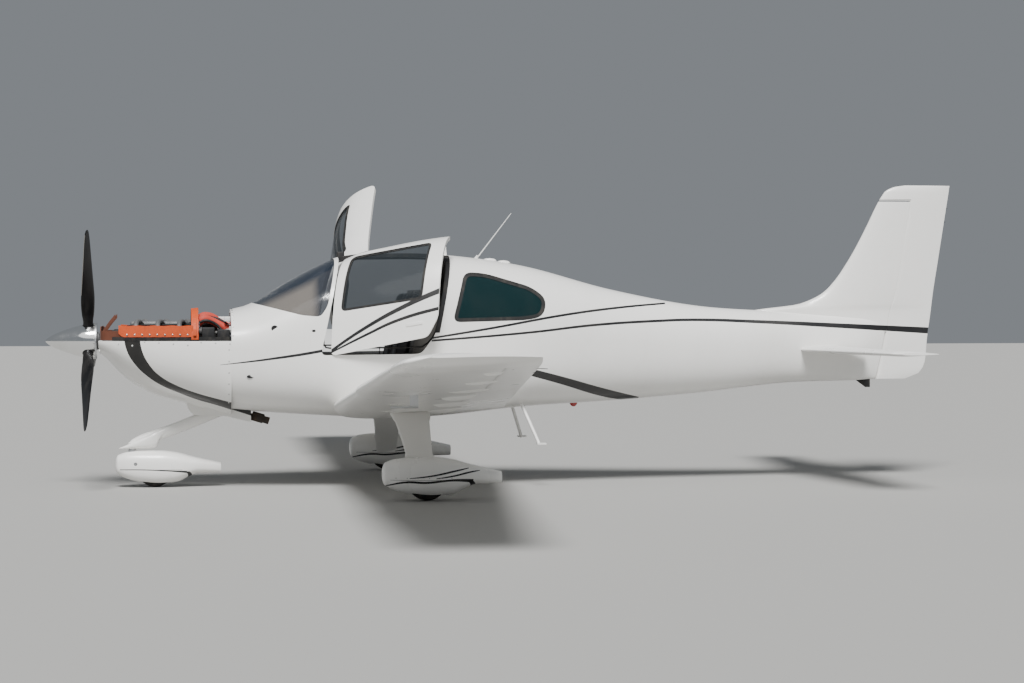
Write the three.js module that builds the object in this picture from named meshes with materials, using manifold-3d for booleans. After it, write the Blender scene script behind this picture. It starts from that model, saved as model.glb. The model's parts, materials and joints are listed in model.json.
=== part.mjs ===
// Four-seat low-wing light aircraft on a fixed tricycle undercarriage, upper engine cowl removed.
// Millimetres. Stations count aft from the spinner's tip, +Y is the right wing, +Z is up from the ground.

import * as THREE from 'three';
import { mergeVertices } from 'three/addons/utils/BufferGeometryUtils.js';
import Module from 'manifold-3d';

const wasm = await Module();
wasm.setup();

// Driving dimensions
const LENGTH = 7916;
const SEAT_GAP = 0.3;
const MOVING_GAP = 6;
const WALL = 32;
const TAIL_WALL = 12;
const SHAFT_Z = 1235;
const FUSELAGE_FRONT = 1533;
const CAVITY_FRONT = 1500;
const CAVITY_REAR = 6900;
const RING_POINTS = 20;
const CABIN_END = 3000;
const FOIL_POINTS = 7;

// Columns: station, top, bottom, half width, height of the widest line, upper and lower roundness, lean of the face
const FUSELAGE_SECTIONS = [
  [1533, 1500, 650, 572, 1180, 2.3, 2.6, 0],
  [1700, 1548, 640, 592, 1180, 2.3, 2.8, 0],
  [2050, 1765, 615, 628, 1180, 2.5, 3.0, 0],
  [2440, 1944, 594, 650, 1180, 2.7, 3.2, 0],
  [2860, 1978, 572, 655, 1180, 2.7, 3.2, 0],
  [3350, 1968, 592, 640, 1190, 2.6, 3.0, 0],
  [4040, 1876, 660, 548, 1200, 2.3, 2.7, 0],
  [4800, 1677, 703, 390, 1190, 2.2, 2.4, 0],
  [5600, 1530, 765, 268, 1170, 2.1, 2.2, 0],
  [6400, 1478, 850, 178, 1165, 2.1, 2.2, 0],
  [7050, 1440, 868, 92, 1160, 2.1, 2.2, 0],
  [7281, 1430, 880, 34, 1160, 2.0, 2.0, 0.193],
];
// The same columns, for the whole cowl before its upper half is left off
const COWL_SECTIONS = [
  [446, 1372, 1132, 330, 1242, 2.2, 2.2, 0],
  [500, 1392, 1092, 385, 1242, 2.2, 2.2, 0],
  [668, 1420, 918, 462, 1242, 2.2, 2.2, 0],
  [898, 1446, 787, 512, 1230, 2.2, 2.3, 0],
  [1187, 1474, 702, 545, 1205, 2.3, 2.4, 0],
  [1532.7, 1500, 596, 572, 1180, 2.3, 2.6, 0],
];
// Columns: distance from the centreline, leading edge, trailing edge, chord height, thickness ratio, nose droop
const WING_SECTIONS = [
  [200, 2372, 3850, 662, 0.150, 0],
  [3040, 2382, 3540, 935, 0.145, 0],
  [3060, 2346, 3538, 937, 0.140, 12],
  [5620, 2366, 3259, 1183, 0.125, 10],
  [5760, 2412, 3244, 1206, 0.095, 4],
  [5840, 2560, 3232, 1236, 0.030, 0],
];
// Columns: distance from the centreline, leading edge, trailing edge, height, thickness ratio
const STABILIZER_SECTIONS = [
  [0, 6474, 7112, 1145, 0.105],
  [1880, 6726, 7110, 1145, 0.105],
  [1960, 6800, 7108, 1145, 0.060],
];
// Columns: height, leading edge, trailing edge, thickness
const FIN_SECTIONS = [
  [880, 6950, 7505, 62],
  [912, 6941, 7604, 65],
  [960, 6930, 7660, 68],
  [1058, 6900, 7694, 74],
  [1208, 6850, 7706, 82],
  [1478, 6080, 7742, 94],
  [1545, 6530, 7750, 97],
  [1661, 6767, 7765, 100],
  [1934, 6980, 7809, 88],
  [2205, 7131, 7852, 74],
  [2465, 7262, 7894, 60],
  [2540, 7312, 7906, 48],
  [2585, 7400, 7912, 26],
  [2600, 7500, 7916, 8],
];
// Columns: distance aft of the fairing's nose, top, bottom, half width
const PANT_SECTIONS = [
  [0, 264, 160, 42],
  [36, 304, 116, 76],
  [120, 330, 74, 102],
  [250, 340, 42, 120],
  [400, 341, 30, 126],
  [560, 322, 48, 120],
  [660, 294, 96, 108],
  [740, 272, 124, 98],
  [946, 224, 128, 60],
];
// Columns: distance from the shaft, chord, thickness, blade angle in degrees
const BLADE_SECTIONS = [
  [88, 84, 84, 50],
  [165, 84, 80, 50],
  [240, 128, 58, 47],
  [400, 168, 32, 38],
  [640, 156, 20, 27],
  [850, 124, 14, 21],
  [940, 86, 9, 19],
  [966, 40, 6, 18],
];
// Control surfaces on the wing. Columns: distance from the centreline, hinge station
const FLAP_HINGE = [[730, 3436], [2990, 3250]];
const AILERON_HINGE = [[3090, 3274], [5560, 3066]];
const FLAP_HINGE_ABOVE_SKIN = 20;
const ELEVATOR_HINGE = 6900;
const ELEVATOR_ROOT = 142;
const HORN_ROOT = 1792;
const STABILIZER_Z = 1145;
const RUDDER_FOOT = [7267, 880];
const RUDDER_LEAN = 0.193;
const RUDDER_HORN_Z = 2466;
const RUDDER_NOSE = [33, 36];
const LUG_CLEARANCE = 16;
const JACK_PAD = { x: 2800, y: 1850, radius: 24, drop: 12 };

// Doors swing about a line that leans aft and inboard, just outside the skin at their front edge
const DOOR_OUTLINE = [
  [2268, 1127], [2446, 1944], [2468, 2050], [3372, 2050], [3342, 1944], [3206, 1290], [3090, 1136],
];
const DOOR_TOP_Y = 84;
const DOOR_AFT_TOP = 3352;
const DOOR_GAP = 5;
const DOOR_PIVOT = [2393, 555, 1700];
const KNUCKLE_CLEARANCE = 15;
const DOOR_AXIS = [0.2186, -0.64, 1];
const DOOR_WINDOW = [[2408, 1472], [2522, 1930], [3224, 1926], [3098, 1452]];
const LEFT_DOOR_OPEN = 19;
const RIGHT_DOOR_OPEN = 83;
const WINDSHIELD_OUTLINE = [
  [1690, 1560], [2110, 1452], [2262, 1440], [2322, 1530], [2402, 1912], [2420, 2100], [1500, 2100],
];
const REAR_WINDOW = [
  [3358, 1392], [3478, 1816], [3660, 1806], [4060, 1690], [4186, 1590], [4150, 1440], [4000, 1408],
];
const GLASS_DEPTH = 9;
const GLASS_THICKNESS = 6;

// Undercarriage
const MAIN_WHEEL = { x: 3030, y: 1600, radius: 160, width: 134, pantX: 2673, stretch: 1, scale: 1, girth: 1 };
const NOSE_WHEEL = { x: 904, y: 0, radius: 145, width: 110, pantX: 571, stretch: 0.932, scale: 0.907, girth: 0.96 };
const PANT_WALL = 8;
const AXLE_RADIUS = 19;
const CASTER_X = 712;
const CASTER_BOSS = 32;
// Columns: height, distance from the centreline, front, rear, thickness
const MAIN_LEG_SECTIONS = [
  [790, 836, 2760, 3120, 74],
  [560, 1095, 2842, 3112, 60],
  [400, 1275, 2880, 3106, 48],
  [270, 1424, 2900, 3104, 38],
  [160, 1500, 2920, 3100, 30],
];

// Propeller and engine
const BLADE_ANGLES = [102.4, 222.4, 342.4];
const BLADE_PLANE = 352;
const CYLINDER_Z = 1215;
const CYLINDER_PITCH = 178;
const FIRST_CYLINDER = 735;
const RIGHT_BANK_OFFSET = 50;
const BAFFLE_FRONT = 655;
const BAFFLE_REAR = 1232;
const BAFFLE_Y = 402;
const BAFFLE_Z = 1262;
const BAFFLE_RISE = 212;
const SEAL_FOOT = 1282;
const SEAL_HEIGHT = 78;
const TOW_LUG = { x: 742, z: 200, radius: 11, end: 98 };
const CASTER_JOINT_Z = 320;

// Finishes: colour, roughness, metalness
const FINISHES = {
  white: [0xf0efea, 0.35, 0],
  grey: [0x6e7072, 0.6, 0.1],
  black: [0x1b1b1d, 0.6, 0],
  silver: [0xc9cbcd, 0.25, 0.8],
  engine: [0x55565a, 0.55, 0.5],
  steel: [0x8d8f92, 0.35, 0.9],
  seal: [0xd4541c, 0.8, 0],
  glass: [0x3d5560, 0.08, 0],
  tyre: [0x18181a, 0.9, 0],
  leather: [0x26252a, 0.7, 0],
};

const part = new THREE.Group();
part.position.x = -LENGTH / 2;

function addPiece(name, solid, finish) {
  const mesh = solid.getMesh();
  const geometry = new THREE.BufferGeometry();
  geometry.setAttribute('position', new THREE.Float32BufferAttribute(mesh.vertProperties, 3));
  geometry.setIndex(Array.from(mesh.triVerts));
  geometry.computeVertexNormals();
  const [color, roughness, metalness] = FINISHES[finish];
  const piece = new THREE.Mesh(geometry, new THREE.MeshStandardMaterial({ color, roughness, metalness }));
  piece.name = name;
  part.add(piece);
}

// Turns a closed three.js geometry into a solid that can be joined and cut.
function toSolid(geometry) {
  geometry.deleteAttribute('normal');
  geometry.deleteAttribute('uv');
  const merged = mergeVertices(geometry, 1e-3);
  const vertProperties = new Float32Array(merged.getAttribute('position').array);
  const triVerts = new Uint32Array(merged.index.array);
  return new wasm.Manifold(new wasm.Mesh({ numProp: 3, vertProperties, triVerts }));
}

// Skins a row of matching rings and closes both ends with a fan about the ring's centre.
function loft(rings) {
  const count = rings[0].length;
  const points = rings.flat();
  const faces = [];
  for (let i = 0; i < rings.length - 1; i += 1) {
    for (let j = 0; j < count; j += 1) {
      const a = i * count + j;
      const b = i * count + ((j + 1) % count);
      faces.push([a, b, b + count], [a, b + count, a + count]);
    }
  }
  [0, rings.length - 1].forEach((end) => {
    const centre = rings[end].reduce((sum, p) => sum.add(p), new THREE.Vector3()).divideScalar(count);
    points.push(centre);
    for (let j = 0; j < count; j += 1) {
      const a = end * count + j;
      const b = end * count + ((j + 1) % count);
      faces.push(end === 0 ? [points.length - 1, b, a] : [points.length - 1, a, b]);
    }
  });
  const volume = faces.reduce((sum, [a, b, c]) => {
    const normal = new THREE.Vector3().crossVectors(points[b], points[c]);
    return sum + points[a].dot(normal);
  }, 0);
  const outward = volume > 0 ? faces : faces.map(([a, b, c]) => [a, c, b]);
  const geometry = new THREE.BufferGeometry();
  geometry.setAttribute('position', new THREE.Float32BufferAttribute(points.flatMap((p) => p.toArray()), 3));
  geometry.setIndex(outward.flat());
  return toSolid(geometry);
}

function box(x0, x1, y0, y1, z0, z1) {
  const geometry = new THREE.BoxGeometry(x1 - x0, y1 - y0, z1 - z0);
  geometry.translate((x0 + x1) / 2, (y0 + y1) / 2, (z0 + z1) / 2);
  return toSolid(geometry);
}

function rod(start, end, radius, sides = 20, endRadius = radius) {
  const from = new THREE.Vector3(...start);
  const to = new THREE.Vector3(...end);
  const along = to.clone().sub(from);
  const geometry = new THREE.CylinderGeometry(endRadius, radius, along.length(), sides);
  const turn = new THREE.Quaternion().setFromUnitVectors(new THREE.Vector3(0, 1, 0), along.clone().normalize());
  geometry.applyQuaternion(turn);
  const middle = from.add(to).multiplyScalar(0.5);
  geometry.translate(middle.x, middle.y, middle.z);
  return toSolid(geometry);
}

// Extrudes a side-view outline across the aircraft from y0 to y1.
function sidePrism(outline, y0, y1) {
  const shape = new THREE.Shape(outline.map(([x, z]) => new THREE.Vector2(x, z)));
  const geometry = new THREE.ExtrudeGeometry(shape, { depth: y1 - y0, bevelEnabled: false });
  geometry.rotateX(Math.PI / 2);
  geometry.translate(0, y1, 0);
  return toSolid(geometry);
}

// Rounds the corners of an outline with short arcs, after moving each side outward by grow.
function roundOutline(corners, radius, grow = 0, arcSteps = 3) {
  const area = corners.reduce((sum, [x, z], i) => {
    const [nx, nz] = corners[(i + 1) % corners.length];
    return sum + x * nz - nx * z;
  }, 0);
  const side = Math.sign(area);
  const points = corners.map(([x, z]) => new THREE.Vector2(x, z));
  const moved = points.map((p, i) => {
    const before = points[(i + points.length - 1) % points.length];
    const after = points[(i + 1) % points.length];
    const into = p.clone().sub(before).normalize();
    const out = after.clone().sub(p).normalize();
    const bisector = new THREE.Vector2(into.y + out.y, -into.x - out.x).normalize().multiplyScalar(side);
    const cosine = bisector.dot(new THREE.Vector2(out.y, -out.x).multiplyScalar(side));
    return p.clone().add(bisector.multiplyScalar(grow / cosine));
  });
  return moved.flatMap((p, i) => {
    const before = moved[(i + moved.length - 1) % moved.length].clone().sub(p).normalize();
    const after = moved[(i + 1) % moved.length].clone().sub(p).normalize();
    const start = p.clone().add(before.multiplyScalar(radius));
    const end = p.clone().add(after.multiplyScalar(radius));
    const curve = new THREE.QuadraticBezierCurve(start, p, end);
    return curve.getPoints(arcSteps).map((q) => [q.x, q.y]);
  });
}

// Reads a table at any value of its first column along a smooth curve through its rows.
function readTable(table, at) {
  const last = table.length - 1;
  const value = Math.min(Math.max(at, table[0][0]), table[last][0]);
  let row = 0;
  while (row < last - 1 && value > table[row + 1][0]) {
    row += 1;
  }
  const [a, b] = [table[row], table[row + 1]];
  const span = b[0] - a[0];
  const t = (value - a[0]) / span;
  const slope = (index, column) => {
    const low = table[Math.max(index - 1, 0)];
    const high = table[Math.min(index + 1, last)];
    return (high[column] - low[column]) / (high[0] - low[0]);
  };
  return a.map((start, column) => {
    if (column === 0) {
      return value;
    }
    const h00 = (1 + 2 * t) * (1 - t) ** 2;
    const h10 = t * (1 - t) ** 2;
    const h01 = t * t * (3 - 2 * t);
    const h11 = t * t * (t - 1);
    return h00 * start + h10 * span * slope(row, column) + h01 * b[column] + h11 * span * slope(row + 1, column);
  });
}

function signedPower(value, exponent) {
  return Math.sign(value) * Math.abs(value) ** exponent;
}

// Body section: a rounded oval whose upper and lower halves have their own height and roundness.
function bodyRing(table, station, inset) {
  const [, top, bottom, half, wide, upper, lower, lean] = readTable(table, station);
  return Array.from({ length: RING_POINTS }, (_, i) => {
    const angle = (2 * Math.PI * i) / RING_POINTS;
    const c = Math.cos(angle);
    const s = Math.sin(angle);
    const power = 2 / (c > 0 ? upper : lower);
    const height = c > 0 ? top - wide - inset : wide - bottom - inset;
    const z = wide + height * signedPower(c, power);
    return new THREE.Vector3(station + lean * (z - wide), (half - inset) * signedPower(s, power), z);
  });
}

// Stations from start to end at every table row between them, with one more halfway along the cabin.
function stationsBetween(table, start, end) {
  const rows = table.map((row) => row[0]).filter((x) => x > start + 1 && x < end - 1);
  const marks = [start, ...rows, end];
  return marks.flatMap((x, i) => {
    const halfway = i < marks.length - 1 && x >= FUSELAGE_FRONT && x < CABIN_END;
    return halfway ? [x, (x + marks[i + 1]) / 2] : [x];
  });
}

function wallAt(station) {
  const share = THREE.MathUtils.clamp((station - 4280) / 500, 0, 1);
  return THREE.MathUtils.lerp(WALL, TAIL_WALL, share);
}

function fuselageBody(inset, start = FUSELAGE_FRONT, end = 7281) {
  const stations = stationsBetween(FUSELAGE_SECTIONS, start, end);
  return loft(stations.map((x) => bodyRing(FUSELAGE_SECTIONS, x, inset)));
}

function fuselageCavity(grow = 0, start = CAVITY_FRONT, end = CAVITY_REAR) {
  const stations = stationsBetween(FUSELAGE_SECTIONS, start, end);
  return loft(stations.map((x) => bodyRing(FUSELAGE_SECTIONS, x, wallAt(x) - grow)));
}

// Aerofoil outline from the trailing edge over the top to the nose and back underneath.
function foilOffsets(chord, ratio, camber) {
  const offsets = [];
  for (let i = -FOIL_POINTS; i <= FOIL_POINTS; i += 1) {
    const along = (1 - Math.cos((Math.PI * Math.abs(i)) / FOIL_POINTS)) / 2;
    const poly = 0.2969 * Math.sqrt(along) - 0.126 * along - 0.3516 * along ** 2;
    const half = 5 * ratio * chord * (poly + 0.2843 * along ** 3 - 0.1036 * along ** 4) + 2 * along;
    const middle = camber * chord * 4 * along * (1 - along);
    offsets.push([along, middle - Math.sign(i) * half, -Math.sign(i)]);
  }
  return offsets;
}

function wingRing(row, side, grow) {
  const [y, front, rear, z, ratio, droop] = row;
  const chord = rear - front;
  return foilOffsets(chord, ratio, 0.018).map(([along, offset, up]) => {
    const dip = droop * (1 - along) ** 4;
    const stretch = grow * (2 * along - 1);
    return new THREE.Vector3(front + along * chord + stretch, side * y, z + offset - dip + up * grow);
  });
}

function wingBody(side, grow = 0) {
  return loft(WING_SECTIONS.map((row) => wingRing(row, side, grow)));
}

// Height of the wing's upper or lower skin at a place in plan.
function wingSkin(y, x, up) {
  const index = WING_SECTIONS.findIndex((row) => row[0] > y);
  const [a, b] = [WING_SECTIONS[index - 1], WING_SECTIONS[index]];
  const t = (y - a[0]) / (b[0] - a[0]);
  const [, front, rear, z, ratio] = a.map((value, i) => THREE.MathUtils.lerp(value, b[i], t));
  const chord = rear - front;
  const along = (x - front) / chord;
  const poly = 0.2969 * Math.sqrt(along) - 0.126 * along - 0.3516 * along ** 2;
  const half = 5 * ratio * chord * (poly + 0.2843 * along ** 3 - 0.1036 * along ** 4) + 2 * along;
  return z + 0.018 * chord * 4 * along * (1 - along) + up * half;
}

// Space behind a hinge line: a round nose about the hinge, open towards the trailing edge.
function hingeZone(start, end, startRadius, endRadius, gap, trim) {
  const axis = end.clone().sub(start).normalize();
  const aft = new THREE.Vector3(1, 0, 0).addScaledVector(axis, -axis.x).normalize();
  const up = new THREE.Vector3().crossVectors(aft, axis);
  const reach = 520;
  const ring = (centre, radius) => {
    const r = radius + gap;
    const arc = Array.from({ length: 6 }, (_, i) => {
      const angle = Math.PI / 2 + (Math.PI * i) / 5;
      return [r * Math.cos(angle), r * Math.sin(angle)];
    });
    const outline = [...arc, [reach, -r - 60], [reach, r + 60]];
    return outline.map(([u, v]) => centre.clone().addScaledVector(aft, u).addScaledVector(up, v));
  };
  const first = start.clone().addScaledVector(axis, -trim);
  const last = end.clone().addScaledVector(axis, trim);
  return loft([ring(first, startRadius), ring(last, endRadius)]);
}

// Hinge lug with a pin, and the slot with a bore that receives it, on a hinge line.
function hingeLug(centre, axis, reach) {
  const along = axis.clone().normalize();
  const aft = new THREE.Vector3(1, 0, 0).addScaledVector(along, -along.x).normalize();
  const up = new THREE.Vector3().crossVectors(aft, along);
  const block = (back, front, thick, wide) => {
    const rings = [-thick, thick].map((offset) => {
      const corners = [[back, -wide], [front, -wide], [front, wide], [back, wide]];
      const origin = centre.clone().addScaledVector(along, offset);
      return corners.map(([u, v]) => origin.clone().addScaledVector(aft, u).addScaledVector(up, v));
    });
    return loft(rings);
  };
  const tip = (distance) => centre.clone().addScaledVector(along, distance).toArray();
  return {
    lug: block(-reach, 5, 6, 7).add(rod(tip(-30), tip(30), 5, 6)),
    slot: block(-reach - 40, 13, 12, 90).add(rod(tip(-33), tip(33), 5.8, 8)),
  };
}

// Cuts one control surface out of a wing and hangs it on two lugs.
function splitSurface(body, fixed, hinge, radii) {
  const [start, end] = hinge;
  const axis = end.clone().sub(start);
  let surface = body.intersect(hingeZone(start, end, radii[0], radii[1], 0, 0));
  let rest = fixed.subtract(hingeZone(start, end, radii[0], radii[1], MOVING_GAP, MOVING_GAP));
  [0.14, 0.86].forEach((share) => {
    const centre = start.clone().lerp(end, share);
    const radius = THREE.MathUtils.lerp(radii[0], radii[1], share);
    const { lug, slot } = hingeLug(centre, axis, radius + MOVING_GAP + LUG_CLEARANCE);
    surface = surface.subtract(slot);
    rest = rest.add(lug);
  });
  return { surface, rest };
}

const fuselageSkin = fuselageBody(0);
const fuselageClear = fuselageBody(-SEAT_GAP);
const cavity = fuselageCavity();
const paneZone = fuselageBody(GLASS_DEPTH).subtract(fuselageBody(GLASS_DEPTH + GLASS_THICKNESS));

// Half space of the left (side -1) or right (side 1) door, clear of the roof's spine.
function doorZone(side, grow) {
  const outline = roundOutline(DOOR_OUTLINE, 45, grow);
  const [low, high] = side < 0 ? [-900, -DOOR_TOP_Y + grow] : [DOOR_TOP_Y - grow, 900];
  const plan = roundOutline([[2200, DOOR_TOP_Y], [DOOR_AFT_TOP, DOOR_TOP_Y], [DOOR_AFT_TOP, 900], [2200, 900]], 70, grow);
  const shape = new THREE.Shape(plan.map(([x, y]) => new THREE.Vector2(x, side * y)));
  const column = new THREE.ExtrudeGeometry(shape, { depth: 1400, bevelEnabled: false });
  column.translate(0, 0, 900);
  return sidePrism(outline, low, high).intersect(toSolid(column));
}

function sideWindow(corners, side, grow) {
  const outline = roundOutline(corners, 52, grow);
  return side < 0 ? sidePrism(outline, -900, -90) : sidePrism(outline, 90, 900);
}

// The door's own frame: aft, inboard and along its hinge line.
function doorFrame(side) {
  const along = new THREE.Vector3(DOOR_AXIS[0], side * DOOR_AXIS[1], DOOR_AXIS[2]).normalize();
  const aft = new THREE.Vector3(1, 0, 0).addScaledVector(along, -along.x).normalize();
  const inboard = new THREE.Vector3().crossVectors(along, aft).multiplyScalar(-side);
  const pivot = new THREE.Vector3(DOOR_PIVOT[0], side * DOOR_PIVOT[1], DOOR_PIVOT[2]);
  return { pivot, along, aft, inboard };
}

// Small hinge on the outer skin: a barrel on the hinge line with a leaf that runs into the panel.
function hingeLeaf(side, from, to, reach, depth) {
  const { pivot, along, aft, inboard } = doorFrame(side);
  const place = (u, v, w) => {
    return pivot.clone().addScaledVector(aft, u).addScaledVector(inboard, v).addScaledVector(along, w);
  };
  const outline = [[0, -6], [reach, 4], [reach, depth], [reach * 0.55, depth], [reach * 0.5, 8], [0, 6]];
  const leaf = [from, to].map((w) => outline.map(([u, v]) => place(u, v, w)));
  return loft(leaf).add(rod(place(0, 0, from).toArray(), place(0, 0, to).toArray(), 8.6, 10));
}

// Room round one half of a door's hinge, along its line.
function knuckleRoom(side, from, to) {
  const { pivot, along } = doorFrame(side);
  const tip = (distance) => pivot.clone().addScaledVector(along, distance).toArray();
  return rod(tip(from), tip(to), KNUCKLE_CLEARANCE, 12);
}

function hingePin(side, radius, reach) {
  const { pivot, along } = doorFrame(side);
  const tip = (distance) => pivot.clone().addScaledVector(along, distance).toArray();
  return rod(tip(-reach), tip(reach), radius, 8);
}

// Opens a door piece from its shut place about the hinge line.
function swing(solid, side, degrees) {
  const { pivot, along } = doorFrame(side);
  const turn = new THREE.Matrix4().makeRotationAxis(along, (side * degrees * Math.PI) / 180);
  const matrix = new THREE.Matrix4().makeTranslation(pivot.x, pivot.y, pivot.z)
    .multiply(turn)
    .multiply(new THREE.Matrix4().makeTranslation(-pivot.x, -pivot.y, -pivot.z));
  return solid.transform(matrix.toArray());
}

// Tail surfaces
const finBody = loft(FIN_SECTIONS.map(([z, front, rear, thick]) => {
  const chord = rear - front;
  return foilOffsets(chord, thick / chord, 0).map(([along, offset]) => {
    return new THREE.Vector3(front + along * chord, offset, z);
  });
}));
const rudderPoint = (z) => new THREE.Vector3(RUDDER_FOOT[0] + RUDDER_LEAN * (z - RUDDER_FOOT[1]), 0, z);

function stabilizerBody(grow) {
  const half = (side) => STABILIZER_SECTIONS.map(([y, front, rear, z, ratio]) => {
    const chord = rear - front;
    return foilOffsets(chord, ratio, 0).map(([along, offset, up]) => {
      return new THREE.Vector3(front + along * chord + grow * (2 * along - 1), side * y, z + offset + up * grow);
    });
  });
  return loft([...half(-1).reverse(), ...half(1).slice(1)]);
}

function elevatorZone(side, gap, root) {
  const start = new THREE.Vector3(ELEVATOR_HINGE, side * root, STABILIZER_Z);
  const end = new THREE.Vector3(ELEVATOR_HINGE, side * 2000, STABILIZER_Z);
  return side > 0
    ? hingeZone(start, end, 30, 16, gap, gap)
    : hingeZone(end, start, 16, 30, gap, gap);
}

function buildTail() {
  const horns = [-1, 1].map((side) => {
    const range = (gap) => (side < 0 ? [-2100, -HORN_ROOT + gap] : [HORN_ROOT - gap, 2100]);
    const horn = (gap) => box(6500, ELEVATOR_HINGE + 30, ...range(gap), STABILIZER_Z - 90, STABILIZER_Z + 90);
    return { own: horn(0), clear: horn(MOVING_GAP) };
  });
  const root = (x) => box(x, 7200, -ELEVATOR_ROOT - 8, ELEVATOR_ROOT + 8, 1000, 1300);
  let fixed = stabilizerBody(0).subtract(root(ELEVATOR_HINGE - 40));
  let fixedClear = stabilizerBody(SEAT_GAP).subtract(root(ELEVATOR_HINGE - 40 + SEAT_GAP));
  const tubeEnd = ELEVATOR_ROOT + 20;
  let elevator = rod([ELEVATOR_HINGE, -tubeEnd, STABILIZER_Z], [ELEVATOR_HINGE, tubeEnd, STABILIZER_Z], 20, 16);
  [-1, 1].forEach((side, index) => {
    const clear = elevatorZone(side, MOVING_GAP, ELEVATOR_ROOT).add(horns[index].clear);
    fixed = fixed.subtract(clear);
    fixedClear = fixedClear.subtract(clear);
    const zone = elevatorZone(side, 0, ELEVATOR_ROOT).add(horns[index].own);
    elevator = elevator.add(stabilizerBody(0).intersect(zone));
    [560, 1480].forEach((y) => {
      const centre = new THREE.Vector3(ELEVATOR_HINGE, side * y, STABILIZER_Z);
      const { lug, slot } = hingeLug(centre, new THREE.Vector3(0, 1, 0), 52);
      fixed = fixed.add(lug);
      elevator = elevator.subtract(slot);
    });
  });
  const foot = rudderPoint(884);
  const head = rudderPoint(2520);
  const hornClear = box(7000, 8000, -90, 90, RUDDER_HORN_Z - 12, 2700);
  const hornOwn = box(7000, 8000, -90, 90, RUDDER_HORN_Z, 2700);
  const axis = head.clone().sub(foot);
  let rudder = finBody.intersect(hingeZone(foot, head, ...RUDDER_NOSE, 0, 40).add(hornOwn));
  let fin = finBody.subtract(hingeZone(foot, head, ...RUDDER_NOSE, MOVING_GAP, 60).add(hornClear));
  fin = fin.intersect(box(6000, 7700, -90, 90, 1300, 2700)).subtract(fuselageClear);
  [1520, 2280].forEach((z) => {
    const { lug, slot } = hingeLug(rudderPoint(z), axis, 62);
    fin = fin.add(lug);
    rudder = rudder.subtract(slot);
  });
  return { fixed, fixedClear, elevator, rudder, fin };
}

function buildFuselage(tail) {
  const torqueHole = rod([ELEVATOR_HINGE, -300, STABILIZER_Z], [ELEVATOR_HINGE, 300, STABILIZER_Z], 26, 20);
  const exhaustRecess = rod([1500, -124, 648], [1720, -124, 600], 30, 16);
  let shell = fuselageSkin.subtract(cavity).subtract(tail.fixedClear).subtract(torqueHole).subtract(exhaustRecess);
  shell = shell.subtract(sidePrism(roundOutline(WINDSHIELD_OUTLINE, 40), -900, 900));
  [-1, 1].forEach((side) => {
    shell = shell.subtract(doorZone(side, DOOR_GAP)).subtract(sideWindow(REAR_WINDOW, side, 0));
    shell = shell.subtract(knuckleRoom(side, -3.5, 52));
    shell = shell.add(hingeLeaf(side, -46, -3.5, -30, 35)).add(hingePin(side, 4, 45));
  });
  return shell;
}

function buildDoor(side, degrees, name) {
  const panel = fuselageSkin.subtract(cavity).intersect(doorZone(side, 0)).subtract(knuckleRoom(side, -50, 3));
  const leaf = hingeLeaf(side, 3, 44, 46, 34).subtract(hingePin(side, 4.8, 60));
  const door = panel.subtract(sideWindow(DOOR_WINDOW, side, 0)).add(leaf);
  const pane = paneZone.intersect(sideWindow(DOOR_WINDOW, side, -SEAT_GAP));
  addPiece(`${name}_door`, swing(door, side, degrees), 'white');
  addPiece(`${name}_door_window`, swing(pane, side, degrees), 'glass');
}

function buildGlazing() {
  const front = sidePrism(roundOutline(WINDSHIELD_OUTLINE, 40, -SEAT_GAP), -900, 900);
  addPiece('windshield', paneZone.intersect(front), 'glass');
  addPiece('left_rear_window', paneZone.intersect(sideWindow(REAR_WINDOW, -1, -SEAT_GAP)), 'glass');
  addPiece('right_rear_window', paneZone.intersect(sideWindow(REAR_WINDOW, 1, -SEAT_GAP)), 'glass');
}

function wingHinge(hinge, side, above) {
  return hinge.map(([y, x]) => {
    const low = wingSkin(y, x, -1);
    const middle = (low + wingSkin(y, x, 1)) / 2;
    return new THREE.Vector3(x, side * y, above === null ? middle : low + above);
  });
}

function noseRadii(hinge, points) {
  return hinge.map(([y, x], i) => wingSkin(y, x, 1) - points[i].z + 3);
}

function buildWing(side, name) {
  const whole = wingBody(side).subtract(fuselageClear);
  const flapHinge = wingHinge(FLAP_HINGE, side, FLAP_HINGE_ABOVE_SKIN);
  const aileronHinge = wingHinge(AILERON_HINGE, side, null);
  const order = (points) => (side > 0 ? points : [...points].reverse());
  const flapRadii = order(noseRadii(FLAP_HINGE, flapHinge));
  const aileronRadii = order(noseRadii(AILERON_HINGE, aileronHinge));
  const flap = splitSurface(whole, whole, order(flapHinge), flapRadii);
  const aileron = splitSurface(whole, flap.rest, order(aileronHinge), aileronRadii);
  const { x, y, radius, drop } = JACK_PAD;
  const skin = wingSkin(y, x, -1);
  const pad = rod([x, side * y, skin - drop], [x, side * y, skin + 30], radius, 16);
  addPiece(`${name}_wing`, aileron.rest.add(pad), 'white');
  addPiece(`${name}_flap`, flap.surface, 'white');
  addPiece(`${name}_aileron`, aileron.surface, 'white');
}

// Wheel fairing: a teardrop shell with an open slot under the tyre.
function pantBody(wheel, side, inset) {
  const rings = PANT_SECTIONS.map(([x, top, bottom, half]) => {
    const [high, low] = [top * wheel.scale, bottom * wheel.scale];
    const middle = (high + low) / 2;
    return Array.from({ length: 12 }, (_, i) => {
      const angle = (2 * Math.PI * i) / 12;
      const y = (half * wheel.girth - inset) * signedPower(Math.sin(angle), 0.76);
      const z = middle + ((high - low) / 2 - inset) * signedPower(Math.cos(angle), 0.76);
      return new THREE.Vector3(wheel.pantX + x * wheel.stretch, side * wheel.y + y, z);
    });
  });
  return loft(rings);
}

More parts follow.
